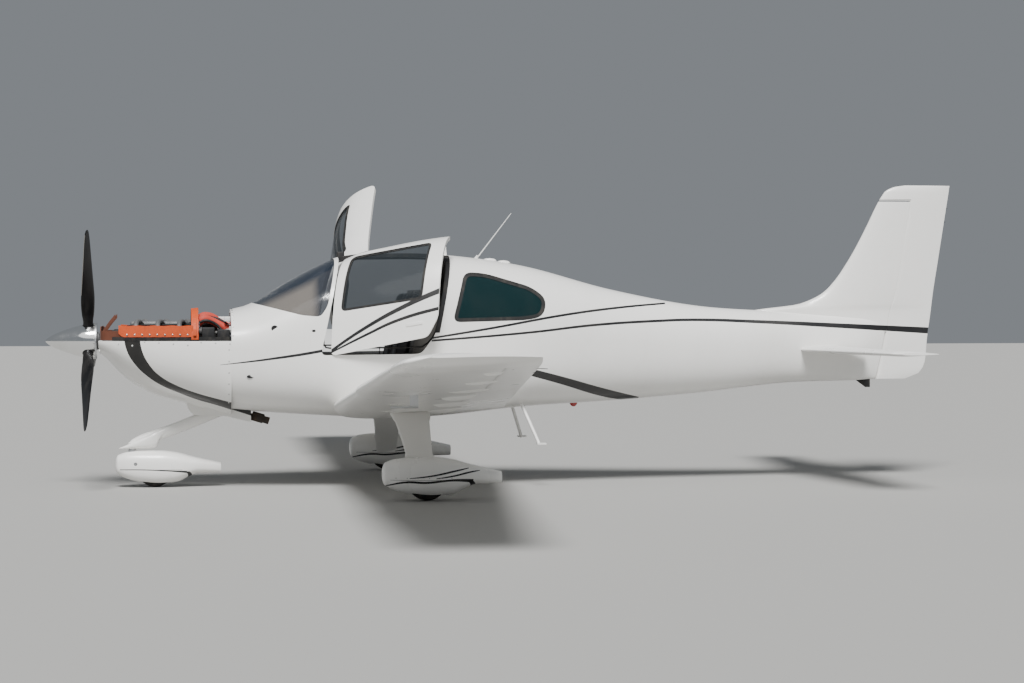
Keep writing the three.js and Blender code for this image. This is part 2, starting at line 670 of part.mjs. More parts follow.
function buildPant(wheel, side) {
  const inner = pantBody(wheel, side, PANT_WALL).intersect(
    box(wheel.pantX + 26, wheel.pantX + 860 * wheel.stretch, -2000, 2000, 0, 600),
  );
  const halfSlot = wheel.width / 2 + 9;
  const slotLength = wheel.radius * 0.94;
  const y = side * wheel.y;
  const slot = box(wheel.x - slotLength, wheel.x + slotLength, y - halfSlot, y + halfSlot, -10, 94);
  return pantBody(wheel, side, 0).subtract(inner).subtract(slot);
}

// Rings turned about the wheel's axle. Profile rows: radius, distance across.
function turned(profile, x, y, z, sides) {
  const points = [profile[0], ...[...profile].reverse()].map(([r, across]) => new THREE.Vector2(r, across));
  const geometry = new THREE.LatheGeometry(points, sides);
  geometry.translate(x, y, z);
  return toSolid(geometry);
}

function buildWheel(wheel, side, name) {
  const { radius, width } = wheel;
  const half = width / 2;
  const rimRadius = radius * 0.46;
  const tyre = [
    [rimRadius + SEAT_GAP, half * 0.62], [radius * 0.76, half], [radius * 0.92, half * 0.78], [radius, half * 0.4],
    [radius, -half * 0.4], [radius * 0.92, -half * 0.78], [radius * 0.76, -half], [rimRadius + SEAT_GAP, -half * 0.62],
  ];
  const rim = [
    [AXLE_RADIUS + 0.8, half * 0.7], [40, half * 0.7], [rimRadius - 12, half * 0.3], [rimRadius, half * 0.6],
    [rimRadius, -half * 0.6], [rimRadius - 12, -half * 0.3], [40, -half * 0.7], [AXLE_RADIUS + 0.8, -half * 0.7],
  ];
  addPiece(`${name}_tyre`, turned(tyre, wheel.x, side * wheel.y, radius, 20), 'tyre');
  addPiece(`${name}_rim`, turned(rim, wheel.x, side * wheel.y, radius, 20), 'silver');
}

function mainLeg(side, grow) {
  const rings = MAIN_LEG_SECTIONS.map(([z, y, front, rear, thick]) => {
    const chord = rear - front;
    return foilOffsets(chord, thick / chord, 0).map(([along, offset, up]) => {
      return new THREE.Vector3(front + along * chord + grow * (2 * along - 1), side * y + offset + up * grow, z);
    });
  });
  const axleInner = side * (MAIN_WHEEL.y - 112);
  const axleOuter = side * (MAIN_WHEEL.y + 84);
  const { x, radius } = MAIN_WHEEL;
  return loft(rings).add(rod([x, axleInner, radius], [x, axleOuter, radius], AXLE_RADIUS + grow, 20));
}

function buildMainGear(side, name) {
  const leg = mainLeg(side, 0).subtract(wingBody(side, SEAT_GAP));
  addPiece(`${name}_gear_leg`, leg, 'white');
  addPiece(`${name}_wheel_fairing`, buildPant(MAIN_WHEEL, side).subtract(mainLeg(side, 2 * SEAT_GAP)), 'white');
  buildWheel(MAIN_WHEEL, side, `${name}_main`);
}

// Oval tube that rises aft from the caster pivot to the firewall.
function noseLeg(grow) {
  const ring = (x, z, deep, wide) => Array.from({ length: 14 }, (_, i) => {
    const angle = (2 * Math.PI * i) / 14;
    return new THREE.Vector3(x, (wide + grow) * Math.sin(angle), z + (deep + grow) * Math.cos(angle));
  });
  const stations = [
    [CASTER_X - 34, 346, 18, 22], [CASTER_X, 364, 38, 32], [800, 402, 46, 32], [1000, 465, 50, 32], [1530, 676, 54, 34],
  ];
  return loft(stations.map((row) => ring(...row)));
}

function buildNoseGear() {
  const boss = rod([CASTER_X, 0, CASTER_JOINT_Z], [CASTER_X, 0, 380], CASTER_BOSS, 24);
  const pin = rod([CASTER_X, 0, 232], [CASTER_X, 0, 360], 12, 12);
  const flange = box(1514, 1535.7, -84, 84, 690, 830);
  addPiece('nose_gear_leg', noseLeg(0).add(boss).add(pin).add(flange), 'white');
  const { x, radius, width } = NOSE_WHEEL;
  const armY = width / 2 + 7;
  const armRing = (px, pz, y0, y1, deep) => {
    const corners = [[y0, pz - deep], [y1, pz - deep], [y1, pz + deep], [y0, pz + deep]];
    return corners.map(([py, z]) => new THREE.Vector3(px, py, z));
  };
  let fork = rod([CASTER_X, 0, 222], [CASTER_X, 0, CASTER_JOINT_Z - 0.6], CASTER_BOSS, 20);
  fork = fork.add(box(CASTER_X - 10, CASTER_X + 24, -armY - 10, armY + 10, 222, 246));
  [-1, 1].forEach((side) => {
    const [low, high] = side < 0 ? [-armY - 10, -armY] : [armY, armY + 10];
    fork = fork.add(loft([armRing(CASTER_X - 8, 234, low, high, 12), armRing(x + 22, radius, low, high, 22)]));
    const lugY = [side * (armY + 4), side * TOW_LUG.end];
    fork = fork.add(rod([TOW_LUG.x, lugY[0], TOW_LUG.z], [TOW_LUG.x, lugY[1], TOW_LUG.z], TOW_LUG.radius, 16));
  });
  fork = fork.add(rod([x, -armY - 6, radius], [x, armY + 6, radius], AXLE_RADIUS, 20));
  fork = fork.subtract(rod([CASTER_X, 0, 200], [CASTER_X, 0, 360], 12.8, 16));
  addPiece('nose_fork', fork, 'steel');
  const clear = rod([CASTER_X, 0, 200], [CASTER_X, 0, 420], CASTER_BOSS + SEAT_GAP, 24)
    .add(rod([TOW_LUG.x, -200, TOW_LUG.z], [TOW_LUG.x, 200, TOW_LUG.z], TOW_LUG.radius + 3, 16));
  addPiece('nose_wheel_fairing', buildPant(NOSE_WHEEL, 1).subtract(clear), 'white');
  buildWheel(NOSE_WHEEL, 1, 'nose');
}

// One blade, at its angle round from upright towards the right wing.
function bladeAt(degrees, grow) {
  const lean = (degrees * Math.PI) / 180;
  const out = new THREE.Vector3(0, Math.sin(lean), Math.cos(lean));
  const round = new THREE.Vector3(0, Math.cos(lean), -Math.sin(lean));
  const aft = new THREE.Vector3(1, 0, 0);
  const centre = new THREE.Vector3(BLADE_PLANE, 0, SHAFT_Z);
  return loft(BLADE_SECTIONS.map(([distance, chord, thick, pitch]) => {
    const angle = (pitch * Math.PI) / 180;
    const along = round.clone().multiplyScalar(Math.cos(angle)).addScaledVector(aft, Math.sin(angle));
    const across = aft.clone().multiplyScalar(Math.cos(angle)).addScaledVector(round, -Math.sin(angle));
    return Array.from({ length: 8 }, (_, i) => {
      const turn = (2 * Math.PI * i) / 8;
      return centre.clone().addScaledVector(out, distance)
        .addScaledVector(along, (chord / 2 + grow) * Math.cos(turn))
        .addScaledVector(across, (thick / 2 + grow) * Math.sin(turn));
    });
  }));
}

function buildPropeller() {
  const hub = (grow) => {
    const half = 62 + grow;
    return rod([BLADE_PLANE - half, 0, SHAFT_Z], [BLADE_PLANE + half, 0, SHAFT_Z], 96 + grow, 24);
  };
  const joined = (grow) => BLADE_ANGLES.reduce((sum, angle) => sum.add(bladeAt(angle, grow)), hub(grow));
  const profile = [[0, 0], [14, 6], [42, 44], [78, 120], [112, 214], [138, 310], [152, 424], [0, 424]];
  const lathe = new THREE.LatheGeometry(profile.map(([r, x]) => new THREE.Vector2(r, x)), 18);
  lathe.rotateZ(-Math.PI / 2);
  lathe.translate(0, 0, SHAFT_Z);
  addPiece('propeller', joined(0), 'black');
  addPiece('spinner', toSolid(lathe).subtract(joined(SEAT_GAP)), 'silver');
}

function buildEngine() {
  const outline = [
    [-116, 1100], [-116, 1300], [-80, 1336], [80, 1336], [116, 1300], [116, 1100], [86, 1010], [-86, 1010],
  ];
  let engine = loft([640, 1300].map((x) => outline.map(([y, z]) => new THREE.Vector3(x, y, z))));
  engine = engine.add(rod([424.5, 0, SHAFT_Z], [442, 0, SHAFT_Z], 74, 24));
  engine = engine.add(rod([440, 0, SHAFT_Z], [660, 0, SHAFT_Z], 44, 20));
  [-1, 1].forEach((side) => {
    for (let i = 0; i < 3; i += 1) {
      const x = FIRST_CYLINDER + i * CYLINDER_PITCH + (side > 0 ? RIGHT_BANK_OFFSET : 0);
      const [low, high] = side < 0 ? [-372, -284] : [284, 372];
      engine = engine.add(rod([x, side * 100, CYLINDER_Z], [x, side * 290, CYLINDER_Z], 70, 12));
      engine = engine.add(box(x - 80, x + 80, low, high, CYLINDER_Z - 72, CYLINDER_Z + 75));
    }
  });
  addPiece('engine', engine, 'engine');
}

// Outline of the aft baffle, an arch under the missing upper cowl.
function baffleArch(x, grow) {
  const arch = Array.from({ length: 15 }, (_, i) => {
    const angle = -Math.PI / 2 + (Math.PI * i) / 14;
    const rise = (BAFFLE_RISE + grow) * signedPower(Math.cos(angle), 0.8);
    return [(BAFFLE_Y + grow) * signedPower(Math.sin(angle), 0.8), BAFFLE_Z + rise];
  });
  const outline = [...arch, [BAFFLE_Y + grow, 1120], [-BAFFLE_Y - grow, 1120]];
  return outline.map(([y, z]) => new THREE.Vector3(x, y, z));
}

function buildBaffles() {
  const plate = 4;
  let baffle = loft([baffleArch(BAFFLE_REAR, 0), baffleArch(BAFFLE_REAR + plate, 0)]);
  const caseCut = box(1200, 1260, -117, 117, 1000, 1337);
  baffle = baffle.subtract(caseCut);
  [-1, 1].forEach((side) => {
    const [low, high] = side < 0 ? [-BAFFLE_Y, -BAFFLE_Y + plate] : [BAFFLE_Y - plate, BAFFLE_Y];
    baffle = baffle.add(box(BAFFLE_FRONT, BAFFLE_REAR + plate, low, high, 1120, SEAL_FOOT));
    const [foot, web] = side < 0 ? [-BAFFLE_Y, -372.3] : [372.3, BAFFLE_Y];
    baffle = baffle.add(box(700, 1200, foot, web, 1150, 1154));
  });
  const band = loft([baffleArch(BAFFLE_REAR - 10, 34), baffleArch(BAFFLE_REAR + 14, 34)])
    .subtract(loft([baffleArch(BAFFLE_REAR - 14, SEAT_GAP), baffleArch(BAFFLE_REAR + 18, SEAT_GAP)]))
    .intersect(box(1200, 1260, -600, 600, SEAL_FOOT + 2, 1600));
  const strips = [-1, 1].map((side) => {
    const [low, high] = side < 0 ? [-BAFFLE_Y - 5, -BAFFLE_Y + 5] : [BAFFLE_Y - 5, BAFFLE_Y + 5];
    return box(BAFFLE_FRONT, BAFFLE_REAR + 14, low, high, SEAL_FOOT + SEAT_GAP, SEAL_FOOT + SEAL_HEIGHT);
  });
  const seals = band.add(strips[0]).add(strips[1]).subtract(
    loft([baffleArch(BAFFLE_REAR - 0.3, SEAT_GAP), baffleArch(BAFFLE_REAR + plate + 0.3, SEAT_GAP)]),
  );
  addPiece('engine_baffles', baffle, 'grey');
  addPiece('baffle_seals', seals, 'seal');
}

function buildEngineMount() {
  const firewallX = 1535.7;
  const engineX = 1300.3;
  const corners = [[-1, 1020, 900], [1, 1020, 900], [1, 1290, 1330], [-1, 1290, 1330]];
  let mount = null;
  corners.forEach(([side, nearZ, farZ], i) => {
    const near = [engineX + 12, side * 100, nearZ];
    const tube = rod(near, [firewallX - 10, side * 300, farZ], 12, 6)
      .add(rod([firewallX - 16, side * 300, farZ], [firewallX, side * 300, farZ], 30, 8))
      .add(rod([engineX, side * 80, nearZ], [engineX + 24, side * 80, nearZ], 26, 8));
    const [nextSide, nextZ] = corners[(i + 1) % 4];
    const rail = rod(near, [engineX + 12, nextSide * 100, nextZ], 12, 6);
    mount = mount === null ? tube.add(rail) : mount.add(tube).add(rail);
  });
  addPiece('engine_mount', mount, 'steel');
}

function buildCowl() {
  const rings = (inset, start, end) => stationsBetween(COWL_SECTIONS, start, end)
    .map((x) => bodyRing(COWL_SECTIONS, x, inset));
  const inner = loft(rings(13, 470, 1532.7)).add(loft([
    bodyRing(COWL_SECTIONS, 1532, 13), bodyRing(COWL_SECTIONS, 1532.7, 13).map((p) => p.clone().setX(1560)),
  ]));
  let cowl = loft(rings(0, 446, 1532.7)).subtract(inner).intersect(box(400, 1600, -700, 700, 400, 1240));
  cowl = cowl.subtract(rod([430, 0, SHAFT_Z], [500, 0, SHAFT_Z], 96, 28));
  [-1, 1].forEach((side) => {
    cowl = cowl.subtract(rod([430, side * 218, 1244], [520, side * 218, 1244], 92, 28));
  });
  const lip = sidePrism([[1300, 700], [1340, 640], [1702, 553], [1702, 760], [1300, 800]], -216, 216)
    .subtract(sidePrism([[1290, 740], [1350, 651], [1712, 564], [1712, 780], [1290, 800]], -204, 204));
  const collar = sidePrism([[1160, 716], [1222, 606], [1480, 596], [1500, 640], [1500, 740], [1160, 740]], -62, 62)
    .subtract(noseLeg(7));
  const below = lip.add(collar).subtract(loft(rings(12, 898, 1532.7))).subtract(fuselageClear);
  cowl = cowl.subtract(box(1430, 1600, -190, 190, 500, 680)).add(below).subtract(noseLeg(3));
  addPiece('lower_cowl', cowl, 'white');
}

function buildExhaust() {
  const bends = [
    [1180, -78, 1009.7], [1180, -78, 880], [1260, -100, 780], [1390, -120, 706],
    [1500, -124, 650], [1700, -124, 603], [1856, -124, 556],
  ];
  const extrudePath = new THREE.CatmullRomCurve3(bends.map((p) => new THREE.Vector3(...p)));
  const circle = new THREE.Shape().absarc(0, 0, 22, 0, 2 * Math.PI);
  const options = { steps: 14, extrudePath, curveSegments: 5, bevelEnabled: false };
  const geometry = new THREE.ExtrudeGeometry(circle, options);
  const flare = rod([1722, -124, 597.5], [1856, -124, 556], 27, 16, 31);
  const bore = rod([1760, -124, 586], [1880, -124, 548], 18, 12, 27);
  addPiece('exhaust_pipe', toSolid(geometry).add(flare).subtract(bore), 'steel');
}

function buildCabin() {
  const room = fuselageCavity(-SEAT_GAP);
  addPiece('firewall', room.intersect(box(1536, 1550, -700, 700, 500, 1700)), 'steel');
  addPiece('cabin_floor', room.intersect(box(1550.3, 4254, -700, 700, 800, 815)), 'grey');
  addPiece('aft_bulkhead', room.intersect(box(4254.3, 4266, -700, 700, 500, 2100)), 'grey');
  const dash = box(2040, 2078, -700, 700, 1000, 1462).add(box(1640, 2078, -700, 700, 1436, 1462));
  addPiece('instrument_panel', room.intersect(dash), 'black');
  const console = [[2078.3, 815.3], [2780, 815.3], [2780, 930], [2420, 950], [2180, 1110], [2078.3, 1180]];
  addPiece('centre_console', sidePrism(console, -104, 104), 'black');
}

// Side outlines of a seat's frame and of the cushion that rests in it, from its front edge.
function seatOutlines(x, floor, rake, depth, height) {
  const back = x + depth;
  const top = floor + height;
  const lean = rake * (top - floor - 200);
  const frame = [
    [x + 40, floor], [back + 60, floor], [back + 96, floor + 200], [back + 96 + lean, top],
    [back + 68 + lean, top], [back + 66, floor + 200], [back + 36, floor + 86], [x + 10, floor + 86],
  ];
  const cushion = [
    [x, floor + 86 + SEAT_GAP], [back + 34, floor + 86 + SEAT_GAP], [back + 64, floor + 203], [back + 64 + lean, top - 10],
    [back - 30 + lean, top - 10], [back - 40, floor + 232], [x + 16, floor + 222],
  ];
  return { frame, cushion };
}

function buildSeats() {
  const front = seatOutlines(2440, 815.3, 0.2, 470, 850);
  const frontRows = [['left', -545, -124], ['right', 124, 545]];
  frontRows.forEach(([name, low, high]) => {
    addPiece(`${name}_front_seat`, sidePrism(front.frame, low, high), 'grey');
    addPiece(`${name}_front_cushion`, sidePrism(front.cushion, low + 6, high - 6), 'leather');
  });
  const rear = seatOutlines(3290, 815.3, 0.26, 440, 690);
  addPiece('rear_seat', sidePrism(rear.frame, -430, 430), 'grey');
  addPiece('rear_cushion', sidePrism(rear.cushion, -474, 474), 'leather');
}

function buildSmallParts() {
  [['left', -1], ['right', 1]].forEach(([name, side]) => {
    const strut = rod([3990, side * 300, 700], [4116, side * 470, 364], 14, 10)
      .add(rod([4116, side * 470, 365], [4124, side * 500, 365], 6, 8))
      .add(box(4090, 4166, Math.min(side * 490, side * 550), Math.max(side * 490, side * 550), 360, 372));
    addPiece(`${name}_step`, strut.subtract(fuselageClear), 'white');
  });
  const whip = rod([3620, 0, 1900], [3950, 0, 2330], 6, 8, 3).add(rod([3618, 0, 1900], [3658, 0, 1962], 20, 10, 12));
  addPiece('whip_antenna', whip.subtract(fuselageClear), 'white');
  const fin = [[3280, 1940], [3390, 1940], [3380, 2040], [3345, 2040]];
  addPiece('blade_antenna', sidePrism(fin, -6, 6).subtract(fuselageClear), 'white');
  const skid = [[7010, 900], [7180, 900], [7180, 806], [7140, 806]];
  addPiece('tail_skid', sidePrism(skid, -8, 8).subtract(fuselageClear), 'black');
  const pitotY = -3400;
  const pitot = rod([2560, pitotY, 824], [2760, pitotY, 824], 9, 12)
    .add(box(2700, 2760, pitotY - 5, pitotY + 5, 824, 960));
  addPiece('pitot_tube', pitot.subtract(wingBody(-1, SEAT_GAP)), 'steel');
}

const tail = buildTail();
addPiece('fuselage', buildFuselage(tail), 'white');
addPiece('horizontal_stabilizer', tail.fixed, 'white');
addPiece('elevator', tail.elevator, 'white');
addPiece('vertical_fin', tail.fin, 'white');
addPiece('rudder', tail.rudder, 'white');
buildGlazing();
buildDoor(-1, LEFT_DOOR_OPEN, 'left');
buildDoor(1, RIGHT_DOOR_OPEN, 'right');
buildWing(-1, 'left');
buildWing(1, 'right');
buildMainGear(-1, 'left');
buildMainGear(1, 'right');
buildNoseGear();
buildPropeller();
buildEngine();
buildBaffles();
buildEngineMount();
buildCowl();
buildExhaust();
buildCabin();
buildSeats();
buildSmallParts();

export default part;
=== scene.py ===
"""Looks of a four-seat light aircraft with its upper engine cowl off and its doors open.

Tables are in millimetres aft of the spinner's tip, right of the centreline and above the ground.
"""
import json
from math import atan2, copysign, cos, hypot, pi, radians, sin, sqrt

import bmesh
import bpy
import numpy as np
from mathutils import Matrix, Vector
from mathutils.bvhtree import BVHTree


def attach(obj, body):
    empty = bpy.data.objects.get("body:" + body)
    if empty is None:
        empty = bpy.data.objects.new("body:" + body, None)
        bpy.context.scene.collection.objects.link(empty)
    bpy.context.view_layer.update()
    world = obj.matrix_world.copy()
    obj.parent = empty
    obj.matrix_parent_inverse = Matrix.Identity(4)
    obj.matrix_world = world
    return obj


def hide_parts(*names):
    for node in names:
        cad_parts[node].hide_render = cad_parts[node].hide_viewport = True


# Airframe sizes, millimetres aft of the spinner's tip, right of the centreline and above the ground
LENGTH = 7916
SHAFT_Z = 1235
WALL = 32
FUSELAGE_FRONT = 1533
FUSELAGE_END = 7281
CAVITY_FRONT = 1500
CAVITY_REAR = 6900
GLASS_DEPTH = 8
GLASS_THICKNESS = 6
MOVING_GAP = 6
DOOR_GAP = 5
SIDES = ((-1, "left"), (1, "right"))

# Station, top, bottom, half width, height of the widest line, upper and lower roundness, lean
FUSELAGE_SECTIONS = [
    [1533, 1500, 650, 572, 1180, 2.3, 2.6, 0],
    [1700, 1548, 640, 592, 1180, 2.3, 2.8, 0],
    [2050, 1765, 615, 628, 1180, 2.5, 3.0, 0],
    [2440, 1944, 594, 650, 1180, 2.7, 3.2, 0],
    [2860, 1978, 572, 655, 1180, 2.7, 3.2, 0],
    [3350, 1968, 592, 640, 1190, 2.6, 3.0, 0],
    [4040, 1876, 660, 548, 1200, 2.3, 2.7, 0],
    [4800, 1677, 703, 390, 1190, 2.2, 2.4, 0],
    [5600, 1530, 765, 268, 1170, 2.1, 2.2, 0],
    [6400, 1478, 850, 178, 1165, 2.1, 2.2, 0],
    [7050, 1440, 868, 92, 1160, 2.1, 2.2, 0],
    [7281, 1430, 880, 34, 1160, 2.0, 2.0, 0.193],
]
COWL_SECTIONS = [
    [446, 1372, 1132, 330, 1242, 2.2, 2.2, 0],
    [500, 1392, 1092, 385, 1242, 2.2, 2.2, 0],
    [668, 1420, 918, 462, 1242, 2.2, 2.2, 0],
    [898, 1446, 787, 512, 1230, 2.2, 2.3, 0],
    [1187, 1474, 702, 545, 1205, 2.3, 2.4, 0],
    [1532.7, 1500, 596, 572, 1180, 2.3, 2.6, 0],
]
# Distance from the centreline, leading edge, trailing edge, chord height, thickness ratio, nose droop
WING_SECTIONS = [
    [200, 2372, 3850, 662, 0.150, 0],
    [3040, 2382, 3540, 935, 0.145, 0],
    [3060, 2346, 3538, 937, 0.140, 12],
    [5620, 2366, 3259, 1183, 0.125, 10],
    [5760, 2412, 3244, 1206, 0.095, 4],
    [5840, 2560, 3232, 1236, 0.030, 0],
]
# Distance from the centreline, leading edge, trailing edge, height, thickness ratio
STABILIZER_SECTIONS = [
    [0, 6474, 7112, 1145, 0.105],
    [1880, 6726, 7110, 1145, 0.105],
    [1960, 6800, 7108, 1145, 0.060],
]
# Height, leading edge, trailing edge, thickness
FIN_SECTIONS = [
    [880, 6950, 7505, 62],
    [912, 6941, 7604, 65],
    [960, 6930, 7660, 68],
    [1058, 6900, 7694, 74],
    [1208, 6850, 7706, 82],
    [1478, 6080, 7742, 94],
    [1545, 6530, 7750, 97],
    [1661, 6767, 7765, 100],
    [1934, 6980, 7809, 88],
    [2205, 7131, 7852, 74],
    [2465, 7262, 7894, 60],
    [2540, 7312, 7906, 48],
    [2585, 7400, 7912, 26],
    [2600, 7500, 7916, 8],
]
# Distance aft of the fairing's nose, top, bottom, half width
PANT_SECTIONS = [
    [0, 264, 160, 42],
    [36, 304, 116, 76],
    [120, 330, 74, 102],
    [250, 340, 42, 120],
    [400, 341, 30, 126],
    [560, 322, 48, 120],
    [660, 294, 96, 108],
    [740, 272, 124, 98],
    [946, 224, 128, 60],
]
PANT_NOSE_ROUNDING = 36
PANT_SQUARENESS = 0.76
# Distance from the shaft, chord, thickness, blade angle
BLADE_SECTIONS = [
    [88, 84, 84, 50],
    [165, 84, 80, 50],
    [240, 128, 58, 47],
    [400, 168, 32, 38],
    [640, 156, 20, 27],
    [850, 124, 14, 21],
    [940, 86, 9, 19],
    [966, 40, 6, 18],
]
BLADE_ANGLES = [102.4, 222.4, 342.4]
BLADE_PLANE = 352
# Height, distance from the centreline, front, rear, thickness
MAIN_LEG_SECTIONS = [
    [790, 836, 2760, 3120, 74],
    [560, 1095, 2842, 3112, 60],
    [400, 1275, 2880, 3106, 48],
    [270, 1424, 2900, 3104, 38],
    [160, 1500, 2920, 3100, 30],
]
# Station, height, half depth, half width
NOSE_LEG_SECTIONS = [
    [678, 346, 18, 22],
    [712, 364, 38, 32],
    [800, 402, 46, 32],
    [1000, 465, 50, 32],
    [1530, 676, 54, 34],
]
FLAP_HINGE = [[730, 3436], [2990, 3250]]
AILERON_HINGE = [[3090, 3274], [5560, 3066]]
FLAP_HINGE_ABOVE_SKIN = 20
ELEVATOR_HINGE = 6900
ELEVATOR_ROOT = 142
HORN_ROOT = 1792
STABILIZER_Z = 1145
RUDDER_FOOT = [7267, 880]
RUDDER_LEAN = 0.193
RUDDER_HORN_Z = 2466
RUDDER_NOSE = [33, 36]
DOOR_OUTLINE = [
    [2268, 1127], [2446, 1944], [2468, 2050], [3372, 2050], [3342, 1944], [3206, 1290], [3090, 1136],
]
DOOR_TOP_Y = 84
DOOR_AFT_TOP = 3352
DOOR_WINDOW = [[2408, 1472], [2522, 1930], [3224, 1926], [3098, 1452]]
WINDSHIELD_OUTLINE = [
    [1690, 1560], [2110, 1452], [2262, 1440], [2322, 1530], [2402, 1912], [2420, 2100], [1500, 2100],
]
SIDE_WINDOW_ROUNDING = 74
REAR_WINDOW = [
    [3358, 1392], [3478, 1816], [3660, 1806], [4060, 1690], [4186, 1590], [4150, 1440], [4000, 1408],
]
MAIN_WHEEL = {
    "x": 3030, "y": 1600, "radius": 160, "width": 134, "pant": 2673, "stretch": 1, "scale": 1, "girth": 1,
}
NOSE_WHEEL = {
    "x": 904, "y": 0, "radius": 145, "width": 110, "pant": 571, "stretch": 0.932, "scale": 0.907,
    "girth": 0.96,
}
CASTER_X = 712

# Painted lines on the body. Station, height, width of the line
NOSE_LINE = [[1440, 1044, 3], [1640, 1066, 12], [1831, 1090, 18], [2224, 1150, 24], [2300, 1166, 24]]
UPPER_LINE = [[3180, 1262, 17], [3675, 1340, 20], [4321, 1450, 21], [4751, 1505, 20], [5287, 1551, 15]]
MAIN_LINE = [
    [3180, 1241, 18], [4039, 1307, 20], [4605, 1366, 22], [5176, 1399, 23], [5519, 1408, 24],
    [6166, 1388, 30], [6900, 1352, 42], [7760, 1306, 56],
]
BELLY_BAND = [[4030, 972, 62], [4340, 890, 68], [4660, 798, 74], [4860, 752, 64], [5060, 714, 46]]
DOOR_UPPER_LINE = [[2240, 1150, 24], [2600, 1306, 30], [2960, 1424, 38], [3260, 1496, 44]]
DOOR_LOWER_LINE = [[2260, 1150, 14], [2600, 1248, 22], [2840, 1310, 26], [3230, 1352, 28]]
# Painted lines on the wheel fairings. Station, height, width, and for the curls height, station, width
MAIN_FAIRING_BAND = [[2700, 122, 8], [2850, 152, 16], [3007, 147, 17], [3230, 164, 18], [3386, 156, 30]]
MAIN_FAIRING_CURL = [[76, 3352, 34], [110, 3386, 42], [156, 3366, 46]]
MAIN_FAIRING_SWEEP = [[2880, 182, 5], [3070, 202, 13], [3230, 234, 14], [3350, 258, 6]]
MAIN_FAIRING_UNDERSWEEP = [[3090, 178, 6], [3230, 198, 13], [3360, 226, 13], [3440, 238, 5]]
NOSE_FAIRING_BAND = [[610, 152, 6], [800, 152, 8], [1000, 142, 9], [1170, 130, 18]]
NOSE_FAIRING_CURL = [[76, 1178, 26], [100, 1194, 34], [134, 1174, 36]]
# Foot of the nose leg. Station, upper edge, lower edge, half width
NOSE_CUFF = [
    [604, 330, 324, 4], [630, 340, 324, 20], [690, 366, 324, 40], [780, 414, 324, 50], [860, 452, 324, 50],
    [905, 474, 330, 46], [950, 490, 408, 40], [985, 502, 436, 34],
]
# Edges of the dark band on the cowl. Height, front station, rear station
COWL_BAND = [
    [560, 1840, 1900], [640, 1600, 1800], [700, 1420, 1640], [750, 1250, 1450], [807, 1103, 1250],
    [864, 974, 1100], [947, 847, 955], [1049, 745, 860], [1178, 674, 800], [1300, 660, 789],
]

SPINNER_PROFILE = [[0, 0], [14, 6], [42, 44], [78, 120], [112, 214], [138, 310], [152, 424]]
AFT = Vector((1, 0, 0))
CYLINDER_Z = 1215
CYLINDER_STATIONS = {-1: [735, 913, 1091], 1: [785, 963, 1141]}
BAFFLE_Y = 402
BAFFLE_REAR = 1232
# Distance right of the centreline, height, sag and radius of each duct behind the engine
AIR_DUCTS = [[-250, 1412, 10, 30], [-120, 1440, 4, 24], [250, 1412, 10, 30], [40, 1446, 4, 24]]
# Places along each hose between the aft baffle and the firewall
HOSE_RUNS = [
    [(1250, -340, 1380), (1330, -350, 1410), (1420, -330, 1370), (1480, -330, 1290), (1530, -320, 1270)],
    [(1250, -120, 1390), (1330, -150, 1432), (1430, -190, 1420), (1530, -210, 1360)],
    [(1250, 60, 1400), (1340, 40, 1428), (1440, 80, 1400), (1530, 110, 1330)],
    [(1250, 330, 1370), (1360, 340, 1400), (1460, 300, 1340), (1530, 280, 1260)],
    [(1340, -90, 1310), (1400, -80, 1330), (1480, -30, 1300), (1530, -10, 1240)],
    [(1300, -380, 1230), (1390, -400, 1250), (1470, -380, 1210), (1530, -360, 1190)],
]
# Station, height, half length and half height of the oval vents
SIDE_VENTS = [[1884, 1344, 26, 24], [1686, 947, 28, 12], [2204, 1324, 14, 8]]
# Station, distance from the centreline and radius of the plates below the wing
INSPECTION_PLATES = [[2760, 1300, 62], [2720, 2300, 62], [2700, 3300, 56], [2680, 4200, 50], [2670, 5000, 46]]
# Distance from the centreline, front and rear of the fairings over the flap hinges
FLAP_FAIRINGS = [[1000, 3100, 3400], [1900, 3040, 3330], [2800, 2990, 3256]]
AILERON_FAIRINGS = [3450, 4325, 5200]

# Camera where the photograph was taken from, metres in the object's frame
CAMERA_PLACE = (-2.893, -18.51, 1.56)
CAMERA_AIM = (0.0, 0.0, 1.22)
CAMERA_LENS = 76
# Direction, strength and spread in degrees of the two lights
SUNS = {"high_key": [(0.12, 0.72, -1.0), 5.6, 20], "side_fill": [(0.1, 1.0, -0.9), 0.5, 50]}
FLOOR_COLOR = (0.36, 0.355, 0.34, 1)
SKY_COLOR = (0.8, 0.86, 0.93, 1)
SKY_STRENGTH = 0.27

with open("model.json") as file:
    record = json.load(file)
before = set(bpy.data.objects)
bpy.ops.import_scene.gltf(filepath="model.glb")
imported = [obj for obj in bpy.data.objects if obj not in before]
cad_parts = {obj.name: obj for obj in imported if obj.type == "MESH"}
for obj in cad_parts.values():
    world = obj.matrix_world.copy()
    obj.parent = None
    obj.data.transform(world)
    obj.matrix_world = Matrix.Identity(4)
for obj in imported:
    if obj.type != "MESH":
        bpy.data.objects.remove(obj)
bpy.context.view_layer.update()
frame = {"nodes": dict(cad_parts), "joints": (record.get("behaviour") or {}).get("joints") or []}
NODES = frame["nodes"]
JOINTS = {joint["name"]: joint for joint in frame["joints"]}


# Shapes

def station(point):
    """A point in millimetres from the spinner's tip, in the object's frame in metres."""
    return Vector(((point[0] - LENGTH / 2) / 1000, point[1] / 1000, point[2] / 1000))


